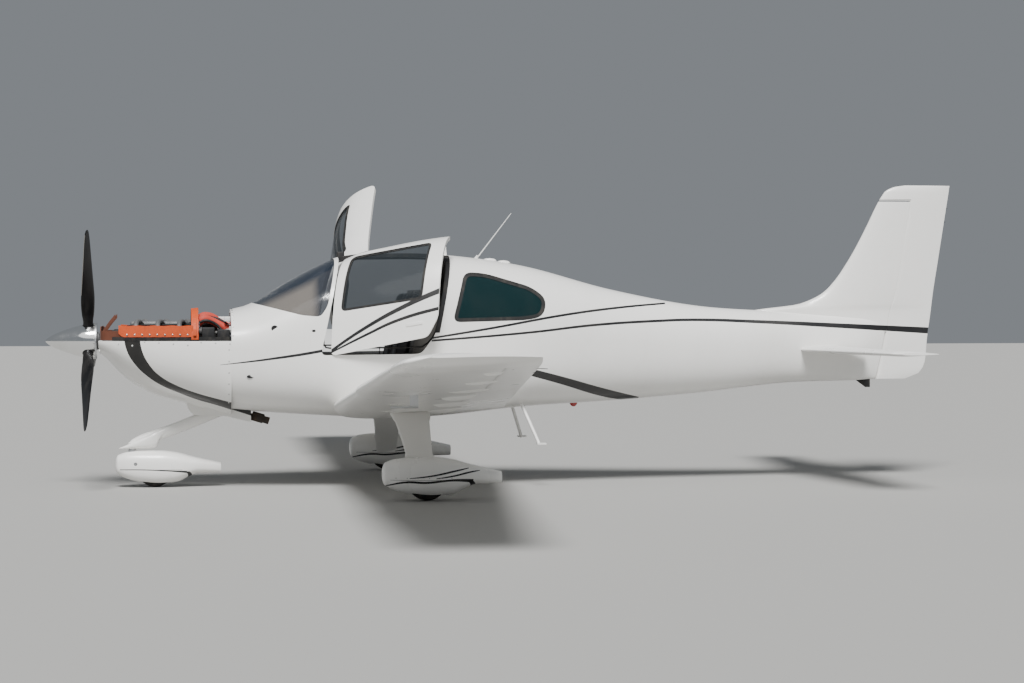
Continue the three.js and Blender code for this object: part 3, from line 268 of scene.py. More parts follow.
def read_table(table, at, gentle=False):
    """A row of the table at any value of its first column, on a smooth curve through its rows."""
    last = len(table) - 1
    value = min(max(at, min(table[0][0], table[last][0])), max(table[0][0], table[last][0]))
    row = 0
    rising = table[last][0] > table[0][0]
    while row < last - 1 and (value > table[row + 1][0] if rising else value < table[row + 1][0]):
        row += 1
    first, second = table[row], table[row + 1]
    span = second[0] - first[0]
    t = (value - first[0]) / span

    def slope(index, column):
        low, high = max(index - 1, 0), min(index + 1, last)
        mean = (table[high][column] - table[low][column]) / (table[high][0] - table[low][0])
        if gentle and low < index < high:
            before = (table[index][column] - table[low][column]) / (table[index][0] - table[low][0])
            after = (table[high][column] - table[index][column]) / (table[high][0] - table[index][0])
            if before * after <= 0:
                return 0.0
            return 2 * before * after / (before + after)
        return mean

    result = [value]
    for column in range(1, len(first)):
        start, end = first[column], second[column]
        h00 = (1 + 2 * t) * (1 - t) ** 2
        h10 = t * (1 - t) ** 2
        h01 = t * t * (3 - 2 * t)
        h11 = t * t * (t - 1)
        leaving, arriving = span * slope(row, column), span * slope(row + 1, column)
        result.append(h00 * start + h10 * leaving + h01 * end + h11 * arriving)
    return result


def spread(start, end, step):
    count = max(2, int(round(abs(end - start) / step)) + 1)
    return [start + (end - start) * i / (count - 1) for i in range(count)]


def circle(count):
    """Cosine and sine of equal steps round a circle."""
    return [(cos(2 * pi * i / count), sin(2 * pi * i / count)) for i in range(count)]


def signed_power(value, exponent):
    return copysign(abs(value) ** exponent, value)


def build_object(name, points, faces):
    """A mesh object from points in millimetres, with every face turned outwards."""
    mesh = bpy.data.meshes.new(name)
    mesh.from_pydata([station(p) for p in points], [], faces)
    work = bmesh.new()
    work.from_mesh(mesh)
    bmesh.ops.remove_doubles(work, verts=work.verts, dist=0.00001)
    bmesh.ops.recalc_face_normals(work, faces=work.faces)
    work.to_mesh(mesh)
    work.free()
    piece = bpy.data.objects.new(name, mesh)
    bpy.context.scene.collection.objects.link(piece)
    return piece


def loft(name, rings, closed=False):
    """A closed skin over a row of matching rings. A closed row joins its last ring to its first."""
    count = len(rings[0])
    points = [p for ring in rings for p in ring]
    faces = []
    total = len(rings)
    for i in range(total if closed else total - 1):
        for j in range(count):
            a, b = i * count + j, i * count + (j + 1) % count
            c, d = ((i + 1) % total) * count + (j + 1) % count, ((i + 1) % total) * count + j
            faces.append((a, b, c, d))
    if not closed:
        faces.append(tuple(range(count)))
        faces.append(tuple(range((total - 1) * count, total * count)))
    return build_object(name, points, faces)


def join(name, pieces):
    """One object from several, each a closed shell."""
    target = bmesh.new()
    for piece in pieces:
        target.from_mesh(piece.data)
        bpy.data.objects.remove(piece)
    mesh = bpy.data.meshes.new(name)
    target.to_mesh(mesh)
    target.free()
    piece = bpy.data.objects.new(name, mesh)
    bpy.context.scene.collection.objects.link(piece)
    return piece


def carve(piece, cutter, operation="DIFFERENCE"):
    """Cuts, joins or clips one closed piece with another."""
    modifier = piece.modifiers.new("carve", "BOOLEAN")
    modifier.operation = operation
    modifier.object = cutter
    modifier.solver = "MANIFOLD"
    bpy.context.view_layer.update()
    evaluated = piece.evaluated_get(bpy.context.evaluated_depsgraph_get())
    mesh = bpy.data.meshes.new_from_object(evaluated)
    piece.modifiers.remove(modifier)
    piece.data = mesh
    bpy.data.objects.remove(cutter)
    return piece


def copy_of(piece, name):
    twin = piece.copy()
    twin.data = piece.data.copy()
    twin.name = name
    bpy.context.scene.collection.objects.link(twin)
    return twin


def mirrored(piece, name):
    """The same piece on the other side of the centreline."""
    twin = copy_of(piece, name)
    twin.data.transform(Matrix.Scale(-1, 4, (0, 1, 0)))
    twin.data.flip_normals()
    return twin


def turned(name, profile, origin, axis, sides=48):
    """A lathe shape. Profile rows are radius and distance along the axis, and run in a closed loop."""
    direction = Vector(axis).normalized()
    across = direction.orthogonal().normalized()
    other = direction.cross(across)
    centre = Vector(origin)
    rings = []
    for c, s in circle(sides):
        out = across * c + other * s
        rings.append([centre + direction * along + out * max(radius, 0.01) for radius, along in profile])
    return loft(name, rings, closed=True)


def rod(name, start, end, radius, end_radius=None, sides=24):
    """A round bar with softened ends."""
    first, last = Vector(start), Vector(end)
    length = (last - first).length
    second = radius if end_radius is None else end_radius
    soft = min(radius, second, length) * 0.18
    profile = [
        [0.01, 0], [radius - soft, 0], [radius, soft],
        [second, length - soft], [second - soft, length], [0.01, length],
    ]
    return turned(name, profile, first, last - first, sides)


def smooth_path(points, per_span=8):
    """Points on a smooth curve through the given ones."""
    given = [Vector(p) for p in points]
    ends = [given[0] * 2 - given[1]] + given + [given[-1] * 2 - given[-2]]
    path = []
    for i in range(1, len(ends) - 2):
        a, b, c, d = ends[i - 1:i + 3]
        for k in range(per_span):
            t = k / per_span
            path.append(0.5 * (2 * b + (c - a) * t + (2 * a - 5 * b + 4 * c - d) * t ** 2
                               + (3 * b - a - 3 * c + d) * t ** 3))
    path.append(given[-1])
    return path


def tube(name, path, radius, sides=10, closed=False, ribs=0.0, rib_every=2):
    """A pipe or hose along a path, with raised rings where ribs is not zero."""
    points = [Vector(p) for p in path]
    count = len(points)
    rings = []
    normal = None
    for i, point in enumerate(points):
        before = points[(i - 1) % count] if closed or i else point
        after = points[(i + 1) % count] if closed or i < count - 1 else point
        tangent = (after - before).normalized()
        if normal is None:
            normal = tangent.orthogonal().normalized()
        normal = (normal - tangent * normal.dot(tangent)).normalized()
        side = tangent.cross(normal)
        size = radius(i / (count - 1)) if callable(radius) else radius
        size += ribs if i % rib_every == 0 else 0
        rings.append([point + (normal * c + side * s) * size for c, s in circle(sides)])
    return loft(name, rings, closed=closed)


def block(name, low, high, radius=4, segments=3):
    """A box with rounded edges."""
    work = bmesh.new()
    bmesh.ops.create_cube(work, size=1)
    size = [h - l for l, h in zip(low, high)]
    middle = [(h + l) / 2 for l, h in zip(low, high)]
    for vert in work.verts:
        vert.co = Vector([m + c * s for m, c, s in zip(middle, vert.co, size)])
    offset = min(radius, min(size) * 0.45)
    bmesh.ops.bevel(work, geom=list(work.edges), offset=offset, segments=segments, affect="EDGES",
                    profile=0.5)
    points = [vert.co.copy() for vert in work.verts]
    faces = [tuple(vert.index for vert in face.verts) for face in work.faces]
    work.free()
    return build_object(name, points, faces)


def box(name, x0, x1, y0, y1, z0, z1):
    ring = [(y0, z0), (y1, z0), (y1, z1), (y0, z1)]
    return loft(name, [[(x, y, z) for y, z in ring] for x in (x0, x1)])


def side_prism(name, outline, y0, y1):
    return loft(name, [[(x, y, z) for x, z in outline] for y in (y0, y1)])


def round_outline(corners, radius, grow=0, steps=8):
    """An outline with its corners turned into arcs, after its sides move outward by grow."""
    count = len(corners)
    area = sum(corners[i][0] * corners[(i + 1) % count][1] - corners[(i + 1) % count][0] * corners[i][1]
               for i in range(count))
    side = 1 if area > 0 else -1
    points = [Vector(corner) for corner in corners]
    moved = []
    for i, p in enumerate(points):
        into = (p - points[i - 1]).normalized()
        out = (points[(i + 1) % count] - p).normalized()
        bisector = Vector((into.y + out.y, -into.x - out.x)).normalized() * side
        cosine = bisector.dot(Vector((out.y, -out.x)) * side)
        moved.append(p + bisector * (grow / cosine))
    result = []
    for i, p in enumerate(moved):
        before = (moved[i - 1] - p).normalized() * radius
        after = (moved[(i + 1) % count] - p).normalized() * radius
        for k in range(steps + 1):
            t = k / steps
            q = (p + before) * (1 - t) ** 2 + p * 2 * t * (1 - t) + (p + after) * t ** 2
            result.append((q.x, q.y))
    return result


def dense_outline(outline, step=30):
    """The outline with points no further apart than the step."""
    result = []
    for i, (x, z) in enumerate(outline):
        nx, nz = outline[(i + 1) % len(outline)]
        count = max(1, int(hypot(nx - x, nz - z) / step))
        result += [(x + (nx - x) * k / count, z + (nz - z) * k / count) for k in range(count)]
    return result


def foil(chord, ratio, camber, count=30):
    """Share of the chord, offset and side of a wing section, from the trailing edge over the top and back."""
    rows = []
    for i in range(-count, count + 1):
        along = (1 - cos(pi * abs(i) / count)) / 2
        poly = 0.2969 * sqrt(along) - 0.126 * along - 0.3516 * along ** 2 + 0.2843 * along ** 3
        half = 5 * ratio * chord * (poly - 0.1036 * along ** 4) + 2 * along
        up = 1 if i < 0 else -1 if i > 0 else 0
        rows.append((along, camber * chord * 4 * along * (1 - along) + up * half, up))
    return rows


def body_ring(table, at, inset, count=80):
    _, top, bottom, half, wide, upper, lower, lean = read_table(table, at)
    ring = []
    for c, s in circle(count):
        power = 2 / (upper if c > 0 else lower)
        height = top - wide - inset if c > 0 else wide - bottom - inset
        z = wide + height * signed_power(c, power)
        ring.append((at + lean * (z - wide), (half - inset) * signed_power(s, power), z))
    return ring


def wall_at(x):
    share = min(max((x - 4280) / 500, 0), 1)
    return WALL + (12 - WALL) * share


def fuselage_body(name, inset, start=FUSELAGE_FRONT, end=FUSELAGE_END, step=55):
    return loft(name, [body_ring(FUSELAGE_SECTIONS, x, inset) for x in spread(start, end, step)])


def fuselage_cavity(name):
    stations = spread(CAVITY_FRONT, CAVITY_REAR, 90)
    return loft(name, [body_ring(FUSELAGE_SECTIONS, x, wall_at(x)) for x in stations])


def skin_y(x, z, inset=0):
    """Half width of the body at a station and height."""
    ring = body_ring(FUSELAGE_SECTIONS, x, inset)
    best = 0
    for i in range(len(ring)):
        a, b = ring[i], ring[(i + 1) % len(ring)]
        if (a[2] - z) * (b[2] - z) <= 0 and a[2] != b[2]:
            best = max(best, a[1] + (z - a[2]) / (b[2] - a[2]) * (b[1] - a[1]))
    return best


def skin_z(x, y, inset=0):
    """Height of the top of the body at a station and a distance from the centreline."""
    ring = [p for p in body_ring(FUSELAGE_SECTIONS, x, inset) if p[1] >= 0]
    for a, b in zip(ring, ring[1:]):
        if (a[1] - y) * (b[1] - y) <= 0 and a[1] != b[1]:
            return a[2] + (y - a[1]) / (b[1] - a[1]) * (b[2] - a[2])
    return ring[0][2]


def on_skin(outline, side, inset=0):
    return [(x, side * skin_y(x, z, inset), z) for x, z in outline]


def line_x(corners, z):
    """Station on a door edge at a height."""
    for (x0, z0), (x1, z1) in zip(corners, corners[1:]):
        if z <= z1:
            return x0 + (x1 - x0) * (z - z0) / (z1 - z0)
    return corners[-1][0]


def door_edge_path(side, inset, within):
    """Closed line round the door, just inside its wall, a distance within its edges."""
    front, rear = DOOR_OUTLINE[:3], [DOOR_OUTLINE[6], DOOR_OUTLINE[5], DOOR_OUTLINE[4], DOOR_OUTLINE[3]]
    sill = DOOR_OUTLINE[0][1] + within + 20

    def climb(corners, shift):
        edge = []
        for k in range(34):
            x = corners[0][0] + 90
            for _ in range(4):
                ring = body_ring(FUSELAGE_SECTIONS, x, inset)
                angle = radians(104 - 95 * k / 33)
                spot = ring[int(round(angle / (2 * pi) * len(ring))) % len(ring)]
                x = line_x(corners, spot[2]) + shift
                if corners is rear and spot[1] < DOOR_TOP_Y + 90:
                    rounding = sqrt(max(8100 - (DOOR_TOP_Y + 90 - spot[1]) ** 2, 0))
                    x = min(x, DOOR_AFT_TOP - 90 + rounding + shift)
            edge.append((x, spot[1], spot[2]))
        return [p for p in edge if p[2] > sill and p[1] > DOOR_TOP_Y + within + 24]

    up, down = climb(front, within), climb(rear, -within)[::-1]
    (x0, y0, _), (x1, y1, _) = up[-1], down[0]
    roof = []
    for k in range(1, 30):
        x, y = x0 + (x1 - x0) * k / 30, y0 + (y1 - y0) * k / 30
        roof.append((x, y, skin_z(x, y, inset)))
    (x0, _, z0), (x1, _, z1) = down[-1], up[0]
    low = []
    for k in range(1, 26):
        x, z = x0 + (x1 - x0) * k / 26, z0 + (z1 - z0) * k / 26
        low.append((x, skin_y(x, z, inset), z))
    loop = [Vector((x, side * y, z)) for x, y, z in up + roof + down + low]
    for _ in range(2):
        loop = [(loop[k - 1] + loop[k] * 2 + loop[(k + 1) % len(loop)]) / 4 for k in range(len(loop))]
    return loop


def door_zone(name, side, grow):
    low, high = (-900, -DOOR_TOP_Y + grow) if side < 0 else (DOOR_TOP_Y - grow, 900)
    zone = side_prism(name, round_outline(DOOR_OUTLINE, 45, grow), low, high)
    plan = round_outline([[2200, DOOR_TOP_Y], [DOOR_AFT_TOP, DOOR_TOP_Y], [DOOR_AFT_TOP, 900], [2200, 900]],
                         70, grow)
    column = loft("column", [[(x, side * y, z) for x, y in plan] for z in (900, 2300)])
    return carve(zone, column, "INTERSECT")


def window_prism(corners, side, grow):
    low, high = (-900, -90) if side < 0 else (90, 900)
    rounding = SIDE_WINDOW_ROUNDING if corners is REAR_WINDOW else 52
    return side_prism("window", round_outline(corners, rounding, grow), low, high)


def door_matrix(side):
    """Turns a piece built with its door shut to the place where the door stands."""
    joint = JOINTS["left_door_hinge" if side < 0 else "right_door_hinge"]
    pivot, axis = Vector(joint["pos_m"]), Vector(joint["axis"])
    turn = Matrix.Rotation(-radians(min(joint["range_deg"])), 4, axis)
    return Matrix.Translation(pivot) @ turn @ Matrix.Translation(-pivot)


def wing_skin(y, x, up):
    index = next(i for i, row in enumerate(WING_SECTIONS) if row[0] > y)
    a, b = WING_SECTIONS[index - 1], WING_SECTIONS[index]
    t = (y - a[0]) / (b[0] - a[0])
    _, front, rear, z, ratio, _ = [p + (q - p) * t for p, q in zip(a, b)]
    chord = rear - front
    along = (x - front) / chord
    poly = 0.2969 * sqrt(along) - 0.126 * along - 0.3516 * along ** 2 + 0.2843 * along ** 3
    half = 5 * ratio * chord * (poly - 0.1036 * along ** 4) + 2 * along
    return z + 0.018 * chord * 4 * along * (1 - along) + up * half


def wing_edge(y):
    """Trailing edge station of the wing at a distance from the centreline."""
    index = next(i for i, row in enumerate(WING_SECTIONS) if row[0] > y)
    a, b = WING_SECTIONS[index - 1], WING_SECTIONS[index]
    return a[2] + (b[2] - a[2]) * (y - a[0]) / (b[0] - a[0])


def hinge_zone(name, start, end, radii, gap, trim):
    """Space behind a hinge line, round at its front."""
    start, end = Vector(start), Vector(end)
    axis = (end - start).normalized()
    aft = (Vector((1, 0, 0)) - axis * axis.x).normalized()
    up = aft.cross(axis)
    rings = []
    for centre, radius in ((start - axis * trim, radii[0] + gap), (end + axis * trim, radii[1] + gap)):
        outline = []
        for i in range(17):
            angle = pi / 2 + pi * i / 16
            outline.append((radius * cos(angle), radius * sin(angle)))
        outline += [(520, -radius - 60), (520, radius + 60)]
        rings.append([centre + aft * u + up * v for u, v in outline])
    return loft(name, rings)


# Finishes

def add_node(tree, kind, inputs=None, **settings):
    node = tree.nodes.new(kind)
    for key, value in settings.items():
        setattr(node, key, value)
    for key, value in (inputs or {}).items():
        if isinstance(value, bpy.types.NodeSocket):
            tree.links.new(value, node.inputs[key])
        else:
            node.inputs[key].default_value = value
    return node


def compute(tree, operation, a, b=0.0, clamp=False):
    return add_node(tree, "ShaderNodeMath", {0: a, 1: b}, operation=operation, use_clamp=clamp).outputs[0]


def new_group(name, inputs, outputs):
    tree = bpy.data.node_groups.new(name, "ShaderNodeTree")
    for label, kind, default in inputs:
        socket = tree.interface.new_socket(label, in_out="INPUT", socket_type=kind)
        if default is not None:
            socket.default_value = default
    for label, kind in outputs:
        tree.interface.new_socket(label, in_out="OUTPUT", socket_type=kind)
    return tree, tree.nodes.new("NodeGroupInput").outputs, tree.nodes.new("NodeGroupOutput").inputs


def weathering_group():
    """Soft stains, fine dust in patches and a faint uneven surface."""
    tree, given, result = new_group(
        "weathering",
        [("Place", "NodeSocketVector", None), ("Size", "NodeSocketFloat", 3.0),
         ("Amount", "NodeSocketFloat", 0.5)],
        [("Stain", "NodeSocketFloat"), ("Height", "NodeSocketFloat"), ("Sheen", "NodeSocketFloat")],
    )
    streaked = add_node(tree, "ShaderNodeMapping", {"Vector": given["Place"], "Scale": (1.0, 1.0, 0.35)})
    broad = add_node(tree, "ShaderNodeTexNoise", {
        "Vector": streaked.outputs[0], "Scale": given["Size"], "Detail": 5.0, "Roughness": 0.6})
    fine = add_node(tree, "ShaderNodeTexNoise", {
        "Vector": given["Place"], "Scale": compute(tree, "MULTIPLY", given["Size"], 14.0), "Detail": 4.0})
    patches = add_node(tree, "ShaderNodeMapRange",
                       {"Value": broad.outputs[0], "From Min": 0.48, "From Max": 0.82})
    dust = compute(tree, "MULTIPLY", patches.outputs[0], fine.outputs[0])
    tree.links.new(compute(tree, "MULTIPLY", dust, given["Amount"], True), result["Stain"])
    tree.links.new(fine.outputs[0], result["Height"])
    tree.links.new(broad.outputs[0], result["Sheen"])
    return tree


def grain_group():
    """Closed cells of leather, moulded plastic or castings."""
    tree, given, result = new_group(
        "grain",
        [("Place", "NodeSocketVector", None), ("Size", "NodeSocketFloat", 400.0)],
        [("Height", "NodeSocketFloat")],
    )
    cells = add_node(tree, "ShaderNodeTexVoronoi", {
        "Vector": given["Place"], "Scale": given["Size"], "Randomness": 1.0, "Smoothness": 0.3},
        feature="SMOOTH_F1")
    tree.links.new(cells.outputs["Distance"], result["Height"])
    return tree


def brushed_group():
    """Long fine scratches along one direction of the piece."""
    tree, given, result = new_group(
        "brushed",
        [("Place", "NodeSocketVector", None), ("Stretch", "NodeSocketVector", (900.0, 900.0, 6.0))],
        [("Height", "NodeSocketFloat")],
    )
    stretched = add_node(tree, "ShaderNodeVectorMath", {0: given["Place"], 1: given["Stretch"]},
                         operation="MULTIPLY")
    lines = add_node(tree, "ShaderNodeTexNoise",
                     {"Vector": stretched.outputs[0], "Scale": 1.0, "Detail": 3.0})
    tree.links.new(lines.outputs[0], result["Height"])
    return tree


def curve_value(tree, share, values):
    """A smooth curve from 0 to 1 through the given pairs."""
    node = add_node(tree, "ShaderNodeFloatCurve", {"Value": share})
    curve = node.mapping.curves[0]
    curve.points[0].location = values[0]
    curve.points[-1].location = values[-1]
    for pair in values[1:-1]:
        curve.points.new(*pair)
    node.mapping.update()
    return node.outputs[0]


def line_mask(tree, along, across, rows, reach=3000):
    """1 on a painted line given by rows of place along, place across and width, in millimetres."""
    start, end = rows[0][0], rows[-1][0]
    share = add_node(tree, "ShaderNodeMapRange",
                     {"Value": along, "From Min": start, "From Max": end}).outputs[0]
    centre = curve_value(tree, share, [((x - start) / (end - start), z / reach) for x, z, _ in rows])
    width = curve_value(tree, share, [((x - start) / (end - start), w / 100) for x, _, w in rows])
    off = compute(tree, "ABSOLUTE",
                  compute(tree, "SUBTRACT", across, compute(tree, "MULTIPLY", centre, float(reach))))
    inside = compute(tree, "LESS_THAN", off, compute(tree, "MULTIPLY", width, 50.0))
    after = compute(tree, "GREATER_THAN", along, float(start))
    before = compute(tree, "LESS_THAN", along, float(end))
    return compute(tree, "MULTIPLY", inside, compute(tree, "MULTIPLY", after, before))


def line_group(name):
    """An empty group for painted lines, with the place along and the place up in millimetres."""
    tree, given, result = new_group(name, [("Place", "NodeSocketVector", None)],
                                    [("Line", "NodeSocketFloat")])
    split = add_node(tree, "ShaderNodeSeparateXYZ", {"Vector": given["Place"]})
    along = compute(tree, "MULTIPLY_ADD", split.outputs[0], 1000.0)
    tree.nodes[-1].inputs[2].default_value = LENGTH / 2
    return tree, along, compute(tree, "MULTIPLY", split.outputs[2], 1000.0), result["Line"]


def painted_lines(name, lines, curl=None):
    """Mask of painted lines that run along a piece, and of a curl that runs up it."""
    tree, along, up, result = line_group(name)
    masks = [line_mask(tree, up, along, curl, reach=4000)] if curl else []
    masks += [line_mask(tree, along, up, rows) for rows in lines]
    total = masks[0]
    for mask in masks[1:]:
        total = compute(tree, "MAXIMUM", total, mask)
    tree.links.new(total, result)
    return tree


def shade_band_group():
    """Darker tint along the top of the windshield, fading downwards and towards the rear edge."""
    tree, along, up, result = line_group("shade_band")
    slope = compute(tree, "SUBTRACT", up, compute(tree, "MULTIPLY", along, 0.47))
    top = add_node(tree, "ShaderNodeMapRange", {"Value": slope, "From Min": 660.0, "From Max": 730.0})
    post = add_node(tree, "ShaderNodeMapRange", {"Value": along, "From Min": 2190.0, "From Max": 2260.0})
    shaded_post = compute(tree, "MULTIPLY", post.outputs[0], 0.85)
    tree.links.new(compute(tree, "MAXIMUM", top.outputs[0], shaded_post), result)
    return tree


def cowl_band_group():
    """The dark band that sweeps down the cowl between two edges, and the line above it."""
    tree, along, up, result = line_group("cowl_band")
    low, high = COWL_BAND[0][0], COWL_BAND[-1][0]
    share = add_node(tree, "ShaderNodeMapRange", {"Value": up, "From Min": low, "From Max": high}).outputs[0]
    edges = []
    for column in (1, 2):
        pairs = [((row[0] - low) / (high - low), row[column] / 2000) for row in COWL_BAND]
        edges.append(compute(tree, "MULTIPLY", curve_value(tree, share, pairs), 2000.0))
    inside = compute(tree, "MULTIPLY", compute(tree, "GREATER_THAN", along, edges[0]),
                     compute(tree, "LESS_THAN", along, edges[1]))
    tree.links.new(compute(tree, "MAXIMUM", inside, line_mask(tree, along, up, NOSE_LINE)), result)
    return tree


GROUPS = {}


def material(name, color, roughness, metallic=0.0, coat=0.0, wear=0.5, wear_size=3.0, dirt=(0.25, 0.22, 0.18),
             grain=None, grain_size=400.0, bump=0.0, alpha=None, lines=None, line_color=(0.012, 0.012, 0.013),
             attribute=None, brushed=None):
    """A finish with its stains, grain, scratches and painted lines. Sizes of patterns are per metre."""
    result = bpy.data.materials.new(name)
    result.use_nodes = True
    tree = result.node_tree
    shader = tree.nodes["Principled BSDF"]
    object_place = add_node(tree, "ShaderNodeTexCoord").outputs["Object"]
    worn = add_node(tree, "ShaderNodeGroup", {}, node_tree=GROUPS["weathering"])
    tree.links.new(object_place, worn.inputs["Place"])
    worn.inputs["Size"].default_value = wear_size
    worn.inputs["Amount"].default_value = wear
    color_socket = None
    base = (*color, 1.0)
    if lines:
        place = object_place
        if attribute:
            place = add_node(tree, "ShaderNodeAttribute", attribute_name=attribute).outputs["Vector"]
        paint = add_node(tree, "ShaderNodeGroup", {}, node_tree=GROUPS[lines])
        tree.links.new(place, paint.inputs["Place"])
        painted = add_node(tree, "ShaderNodeMix", {"Factor": paint.outputs["Line"]}, data_type="RGBA")
        painted.inputs["A"].default_value = base
        painted.inputs["B"].default_value = (*line_color, 1.0)
        color_socket = painted.outputs["Result"]
    stained = add_node(tree, "ShaderNodeMix", {"Factor": worn.outputs["Stain"]}, data_type="RGBA")
    if color_socket:
        tree.links.new(color_socket, stained.inputs["A"])
    else:
        stained.inputs["A"].default_value = base
    stained.inputs["B"].default_value = (*dirt, 1.0)
    tree.links.new(stained.outputs["Result"], shader.inputs["Base Color"])
    rough = add_node(tree, "ShaderNodeMapRange", {
        "Value": worn.outputs["Sheen"], "From Min": 0.3, "From Max": 0.7,
        "To Min": max(roughness - 0.06, 0.02), "To Max": min(roughness + 0.1, 1.0)})
    tree.links.new(rough.outputs[0], shader.inputs["Roughness"])
    shader.inputs["Metallic"].default_value = metallic
    # Rubber, black paint and black plastic mirror less of the sky than the other finishes
    if max(color) < 0.03 and alpha is None:
        shader.inputs["Specular IOR Level"].default_value = 0.25
    shader.inputs["Coat Weight"].default_value = coat
    shader.inputs["Coat Roughness"].default_value = 0.12
    height = worn.outputs["Height"]
    if grain:
        cells = add_node(tree, "ShaderNodeGroup", {}, node_tree=GROUPS[grain])
        tree.links.new(object_place, cells.inputs["Place"])
        if grain == "grain":
            cells.inputs["Size"].default_value = grain_size
        if brushed:
            cells.inputs["Stretch"].default_value = brushed
        height = cells.outputs["Height"]
    if bump:
        relief = add_node(tree, "ShaderNodeBump", {"Strength": bump, "Distance": 0.001, "Height": height})
        tree.links.new(relief.outputs[0], shader.inputs["Normal"])
    if alpha is not None:
        shader.inputs["Alpha"].default_value = alpha
    return result


